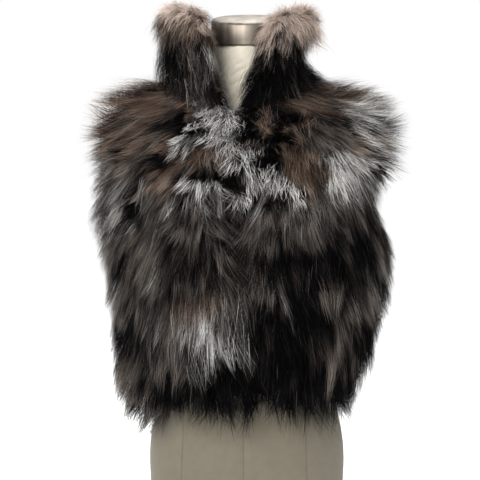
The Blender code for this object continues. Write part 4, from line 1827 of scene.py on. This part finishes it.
@dataclass
class DressForm:
    """Limbless form with a linen cover and a metal cap on its neck.

    Attributes:
        torso_node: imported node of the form.
        cap_node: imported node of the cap.
        rounding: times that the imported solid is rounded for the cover.
        foot_edge: points below this height lie on the floor.
        smooth_angle: steepest edge of the cover that is shaded smooth, in degrees.
        seam_half_width: half the width of a sewn seam.
        seam_depth: how far a seam draws the cover in.
        seam_top: height at which the seams end.
        leaning_seam_x: how far from the middle the leaning seams are.
        leaning_seam_z: height at which they are that far.
        leaning_seam_slope: how much nearer they come with height.
        neck_bottom: height at which the folds of the neck start.
        neck_top: height at which they end.
        neck_margins: how far the finer faces reach below and above them.
        neck_cuts: cuts across each of those faces, each way.
        fold_depth: depth of a fold.
        fold_spacing: height from one fold to the next.
        fold_lean: slope of the folds.
        fold_ease: shares of the neck's height over which folds start below and end above.
        fold_sway: height and rate of the folds' sway across.
        fold_wander: size and rate of the changes in their spacing.
        weave_radius: radius at which the weave has its true size.
        cap_ease: width of the cap's eased edges.
        cap_ease_steps: faces across them.
        cap_edge_angle: least steep edge of the cap that is eased, in degrees.
        cap_smooth_angle: steepest edge of the cap that is shaded smooth, in degrees.
    """

    torso_node: str = "form_torso"
    cap_node: str = "form_neck_cap"
    rounding: int = 1
    foot_edge: float = 0.004
    smooth_angle: float = 50.0
    seam_half_width: float = 0.0022
    seam_depth: float = 0.0009
    seam_top: float = 0.66
    leaning_seam_x: float = 0.104
    leaning_seam_z: float = 0.10
    leaning_seam_slope: float = 0.04
    neck_bottom: float = 0.700
    neck_top: float = 0.800
    neck_margins: tuple[float, float] = (0.01, 0.03)
    neck_cuts: int = 2
    fold_depth: float = 0.0026
    fold_spacing: float = 0.015
    fold_lean: float = 0.75
    fold_ease: tuple[float, float] = (0.3, 0.25)
    fold_sway: tuple[float, float] = (0.006, 40.0)
    fold_wander: tuple[float, float] = (3.0, 55.0)
    weave_radius: float = 0.15
    cap_ease: float = 0.0008
    cap_ease_steps: int = 2
    cap_edge_angle: float = 35.0
    cap_smooth_angle: float = 40.0

    def build(self) -> BVHTree:
        """Returns:
            The cover's surface, which the fur stays out of.
        """
        torso = self.build_torso()
        cap = self.build_cap()
        for piece, node, slot in ((torso, self.torso_node, "linen"), (cap, self.cap_node, "cap_metal")):
            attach(piece, BODY)
            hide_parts(node)
            LOG.info("%s: %d faces", piece.name, len(piece.data.polygons))
        return surface_tree(*welded(self.torso_node))

    def build_torso(self) -> bpy.types.Object:
        """Makes the linen cover with its sewn seams and the drag lines at its neck.

        Returns:
            The cover.
        """
        torso = merged_copy(self.torso_node, "form_cover")
        levels = {"levels": self.rounding, "render_levels": self.rounding}
        apply_modifier(torso, "SUBSURF", boundary_smooth="PRESERVE_CORNERS", **levels)
        self.cut_seams(torso)
        self.refine_neck(torso)
        points = vertex_rows(torso.data)
        normals = vertex_rows(torso.data, "normal")
        seam = self.seam_share(points)
        points = points - normals * (self.seam_depth * seam)[:, None]
        points = points + normals * self.neck_folds(points)[:, None]
        points[points[:, 2] < self.foot_edge, 2] = 0.0
        torso.data.vertices.foreach_set("co", points.astype(np.float32).ravel())
        torso.data.update()
        mark = torso.data.attributes.new(SEAM_MARK, "FLOAT", "POINT")
        mark.data.foreach_set("value", seam.astype(np.float32))
        self.map_weave(torso)
        make_active(torso)
        bpy.ops.object.shade_smooth_by_angle(angle=math.radians(self.smooth_angle))
        torso.data.materials.append(LinenFinish().material())
        return torso

    def seam_planes(self) -> list[tuple[Vector, Vector]]:
        """Lists the planes in which the seams lie: the middle, the sides and the two that lean.

        Returns:
            A point of each plane, and the direction square to it.
        """
        planes = [(Vector((0.0, 0.0, 0.0)), Vector(way)) for way in ((1.0, 0.0, 0.0), (0.0, 1.0, 0.0))]
        for side in (1.0, -1.0):
            place = Vector((side * self.leaning_seam_x, 0.0, self.leaning_seam_z))
            planes.append((place, Vector((side, 0.0, self.leaning_seam_slope)).normalized()))
        return planes

    def cut_seams(self, torso: bpy.types.Object) -> None:
        """Cuts edges into the cover along each seam and at both its sides.

        Args:
            torso: the cover.
        """
        make_active(torso)
        bpy.ops.object.mode_set(mode="EDIT")
        for place, way in self.seam_planes():
            for offset in (-self.seam_half_width, 0.0, self.seam_half_width):
                bpy.ops.mesh.select_all(action="SELECT")
                bpy.ops.mesh.bisect(plane_co=place + way * offset, plane_no=way)
        bpy.ops.mesh.select_all(action="DESELECT")
        bpy.ops.object.mode_set(mode="OBJECT")

    def refine_neck(self, torso: bpy.types.Object) -> None:
        """Cuts the faces of the neck finer, so that they can hold its folds.

        Args:
            torso: the cover, active and with nothing selected.
        """
        lowest = self.neck_bottom - self.neck_margins[0]
        highest = self.neck_top + self.neck_margins[1]
        bpy.ops.object.mode_set(mode="EDIT")
        bpy.ops.mesh.select_mode(type="FACE")
        bpy.ops.object.mode_set(mode="OBJECT")
        for polygon in torso.data.polygons:
            polygon.select = lowest < polygon.center.z < highest
        bpy.ops.object.mode_set(mode="EDIT")
        bpy.ops.mesh.subdivide(number_cuts=self.neck_cuts, smoothness=0.0)
        bpy.ops.object.mode_set(mode="OBJECT")

    def seam_share(self, points: Array) -> Array:
        """Finds how far the seams draw each point in.

        Args:
            points: the points, one a row.

        Returns:
            1 on a seam, falling to 0 at its sides.
        """
        share = np.zeros(len(points))
        for place, way in self.seam_planes():
            away = np.abs((points - np.array(place)) @ np.array(way))
            share = np.maximum(share, 1.0 - away / self.seam_half_width)
        return np.clip(share, 0.0, 1.0) * (points[:, 2] < self.seam_top)

    def neck_folds(self, points: Array) -> Array:
        """Finds the slanting drag lines round the neck.

        Args:
            points: the points, one a row.

        Returns:
            How far each point rises, less than nothing in a fold.
        """
        height = (points[:, 2] - self.neck_bottom) / (self.neck_top - self.neck_bottom)
        inside = smooth_step(height / self.fold_ease[0]) * smooth_step((1.0 - height) / self.fold_ease[1])
        sway, sway_rate = self.fold_sway
        slant = points[:, 2] - self.fold_lean * points[:, 0] + sway * np.sin(sway_rate * points[:, 0])
        wander, wander_rate = self.fold_wander
        wave = np.sin(2.0 * math.pi * slant / self.fold_spacing + wander * np.sin(wander_rate * slant))
        return -self.fold_depth * inside * np.maximum(wave, 0.0) ** 2

    def map_weave(self, torso: bpy.types.Object) -> None:
        """Lays the weave round the cover, in metres round and up.

        Args:
            torso: the cover.
        """
        mesh = torso.data
        points = vertex_rows(mesh)
        flat = np.stack([around(points) * self.weave_radius, points[:, 2]], axis=1)
        corners = np.zeros(len(mesh.loops), dtype=np.int32)
        mesh.loops.foreach_get("vertex_index", corners)
        layer = mesh.uv_layers.new(name=WEAVE_MAP)
        layer.data.foreach_set("uv", flat[corners].astype(np.float32).ravel())

    def build_cap(self) -> bpy.types.Object:
        """Makes the cap, with its edges eased.

        Returns:
            The cap.
        """
        cap = merged_copy(self.cap_node, "form_cap")
        sizes = {"width": self.cap_ease, "segments": self.cap_ease_steps}
        limit = math.radians(self.cap_edge_angle)
        apply_modifier(cap, "BEVEL", limit_method="ANGLE", angle_limit=limit, **sizes)
        bpy.ops.object.shade_smooth_by_angle(angle=math.radians(self.cap_smooth_angle))
        cap.data.materials.append(CapFinish().material())
        return cap


@dataclass(frozen=True)
class SoftLight:
    """A large square light that faces the vest.

    Attributes:
        name: the light's name.
        place: where it hangs.
        size: side of its face.
        power: watts.
    """

    name: str
    place: tuple[float, float, float]
    size: float
    power: float

    def build(self, aim_height: float) -> None:
        """Hangs the light.

        Args:
            aim_height: height on the form's axis that it faces.
        """
        data = bpy.data.lights.new(self.name, "AREA")
        data.size = self.size
        data.energy = self.power
        light = add_object(self.name, data)
        light.location = self.place
        aim = Vector((0.0, 0.0, aim_height)) - light.location
        light.rotation_euler = aim.to_track_quat("-Z", "Y").to_euler()


@dataclass
class Studio:
    """Pale floor, soft lights and a camera that sees the vest as it was photographed.

    Attributes:
        floor_size: side of the square floor.
        lights: the soft lights.
        aim_height: height that they face.
        backdrop: strength of the white that the camera sees.
        fill: strength of the light from all round.
        camera_distance: from the camera to its target.
        camera_turn: degrees that the camera goes round towards +X.
        camera_rise: degrees that it looks down.
        target_height: height of its target.
        target_shift: how far to the picture's right the target is from the form's axis.
        lens: focal length, in millimetres.
        sensor: width of the film, in millimetres.
    """

    floor_size: float = 24.0
    lights: tuple[SoftLight, ...] = (
        SoftLight("key", (-1.1, -2.4, 2.1), 1.6, 132.0),
        SoftLight("fill", (2.2, -2.0, 1.4), 1.8, 26.0),
        SoftLight("top", (0.2, 1.2, 2.6), 1.6, 45.0),
    )
    aim_height: float = 0.5
    backdrop: float = 1.0
    fill: float = 0.54
    camera_distance: float = 2.6
    camera_turn: float = 3.0
    camera_rise: float = 5.0
    target_height: float = 0.4896
    target_shift: float = -0.01126
    lens: float = 116.07
    sensor: float = 36.0

    def build(self) -> None:
        """Sets up the floor, the lights and the camera."""
        self.build_floor()
        self.build_world()
        for light in self.lights:
            light.build(self.aim_height)
        self.build_camera()

    def build_floor(self) -> None:
        """Lays the floor at the form's foot."""
        deselect_all()
        bpy.ops.mesh.primitive_plane_add(size=self.floor_size, location=(0.0, 0.0, 0.0))
        floor = bpy.context.active_object
        floor.name = "floor"
        floor.data.materials.append(FloorFinish().material())

    def build_world(self) -> None:
        """Makes a white backdrop that lights the vest softly from all round."""
        world = bpy.data.worlds.new("studio")
        bpy.context.scene.world = world
        world.use_nodes = True
        tree = world.node_tree
        tree.nodes.clear()
        ray = tree.nodes.new("ShaderNodeLightPath")
        choose = tree.nodes.new("ShaderNodeMixShader")
        out = tree.nodes.new("ShaderNodeOutputWorld")
        tree.links.new(ray.outputs["Is Camera Ray"], choose.inputs[0])
        for number, strength in enumerate((self.fill, self.backdrop), 1):
            white = tree.nodes.new("ShaderNodeBackground")
            white.inputs["Strength"].default_value = strength
            white.inputs["Color"].default_value = (*grey(1.0), 1.0)
            tree.links.new(white.outputs[0], choose.inputs[number])
        tree.links.new(choose.outputs[0], out.inputs["Surface"])

    def build_camera(self) -> None:
        """Places the camera and sets plain colours for the picture."""
        turn = math.radians(self.camera_turn)
        rise = math.radians(self.camera_rise)
        right = Vector((math.cos(turn), math.sin(turn), 0.0))
        back = Vector((math.sin(turn), -math.cos(turn), 0.0))
        target = Vector((0.0, 0.0, self.target_height)) + right * self.target_shift
        away = back * math.cos(rise) + Vector((0.0, 0.0, math.sin(rise)))
        data = bpy.data.cameras.new("camera")
        data.lens = self.lens
        data.sensor_width = self.sensor
        camera = add_object("camera", data)
        camera.location = target + away * self.camera_distance
        camera.rotation_euler = (-away).to_track_quat("-Z", "Y").to_euler()
        bpy.context.scene.camera = camera
        bpy.context.scene.view_settings.view_transform = "Standard"


def fur_pieces() -> list[FurPiece]:
    """Lists the cut pieces of the vest, in the order of their making.

    Returns:
        The fronts, the back and the collar halves.
    """
    front = {
        "chart": PlateChart(FRONT_PLATES),
        "slot": "fur",
        "flat": (0.32, 0.50),
        "flat_area": 0.13,
        "counts": (32000, 10000, 2000),
    }
    back = {
        "chart": PlateChart(BACK_PLATES),
        "slot": "fur",
        "flat": (0.56, 0.54),
        "flat_area": 0.26,
        "counts": (19000, 10000, 1600),
    }
    collar = {
        "chart": PlateChart(COLLAR_PLATES),
        "slot": "collar_fur",
        "flat": (0.24, 0.17),
        "flat_area": 0.036,
        "counts": (12000, 4000, 1200),
    }
    right_foot = ("front_right", "back", "collar_left")
    return [
        FurPiece("front_left", ("front_right", "back", "collar_left"), 1, **front),
        FurPiece("front_right", ("front_left", "back", "collar_right"), 2, **front),
        FurPiece("back", ("front_left", "front_right", "collar_left", "collar_right"), 3, **back),
        FurCollar("collar_left", ("front_left", "back", "collar_right"), 4, **collar),
        FurCollar("collar_right", right_foot, 5, draw_limits=(0.028, 0.012), **collar),
    ]


def main() -> None:
    """Builds the form, the vest and the studio."""
    logging.basicConfig(level=logging.INFO, format="%(name)s: %(message)s")
    form = DressForm().build()
    pelt_finish = PeltFinish().material()
    hair_finish = HairFinish().material()
    for piece in fur_pieces():
        piece.build(pelt_finish, hair_finish, form)
    Studio().build()


if __name__ == "__main__":
    main()
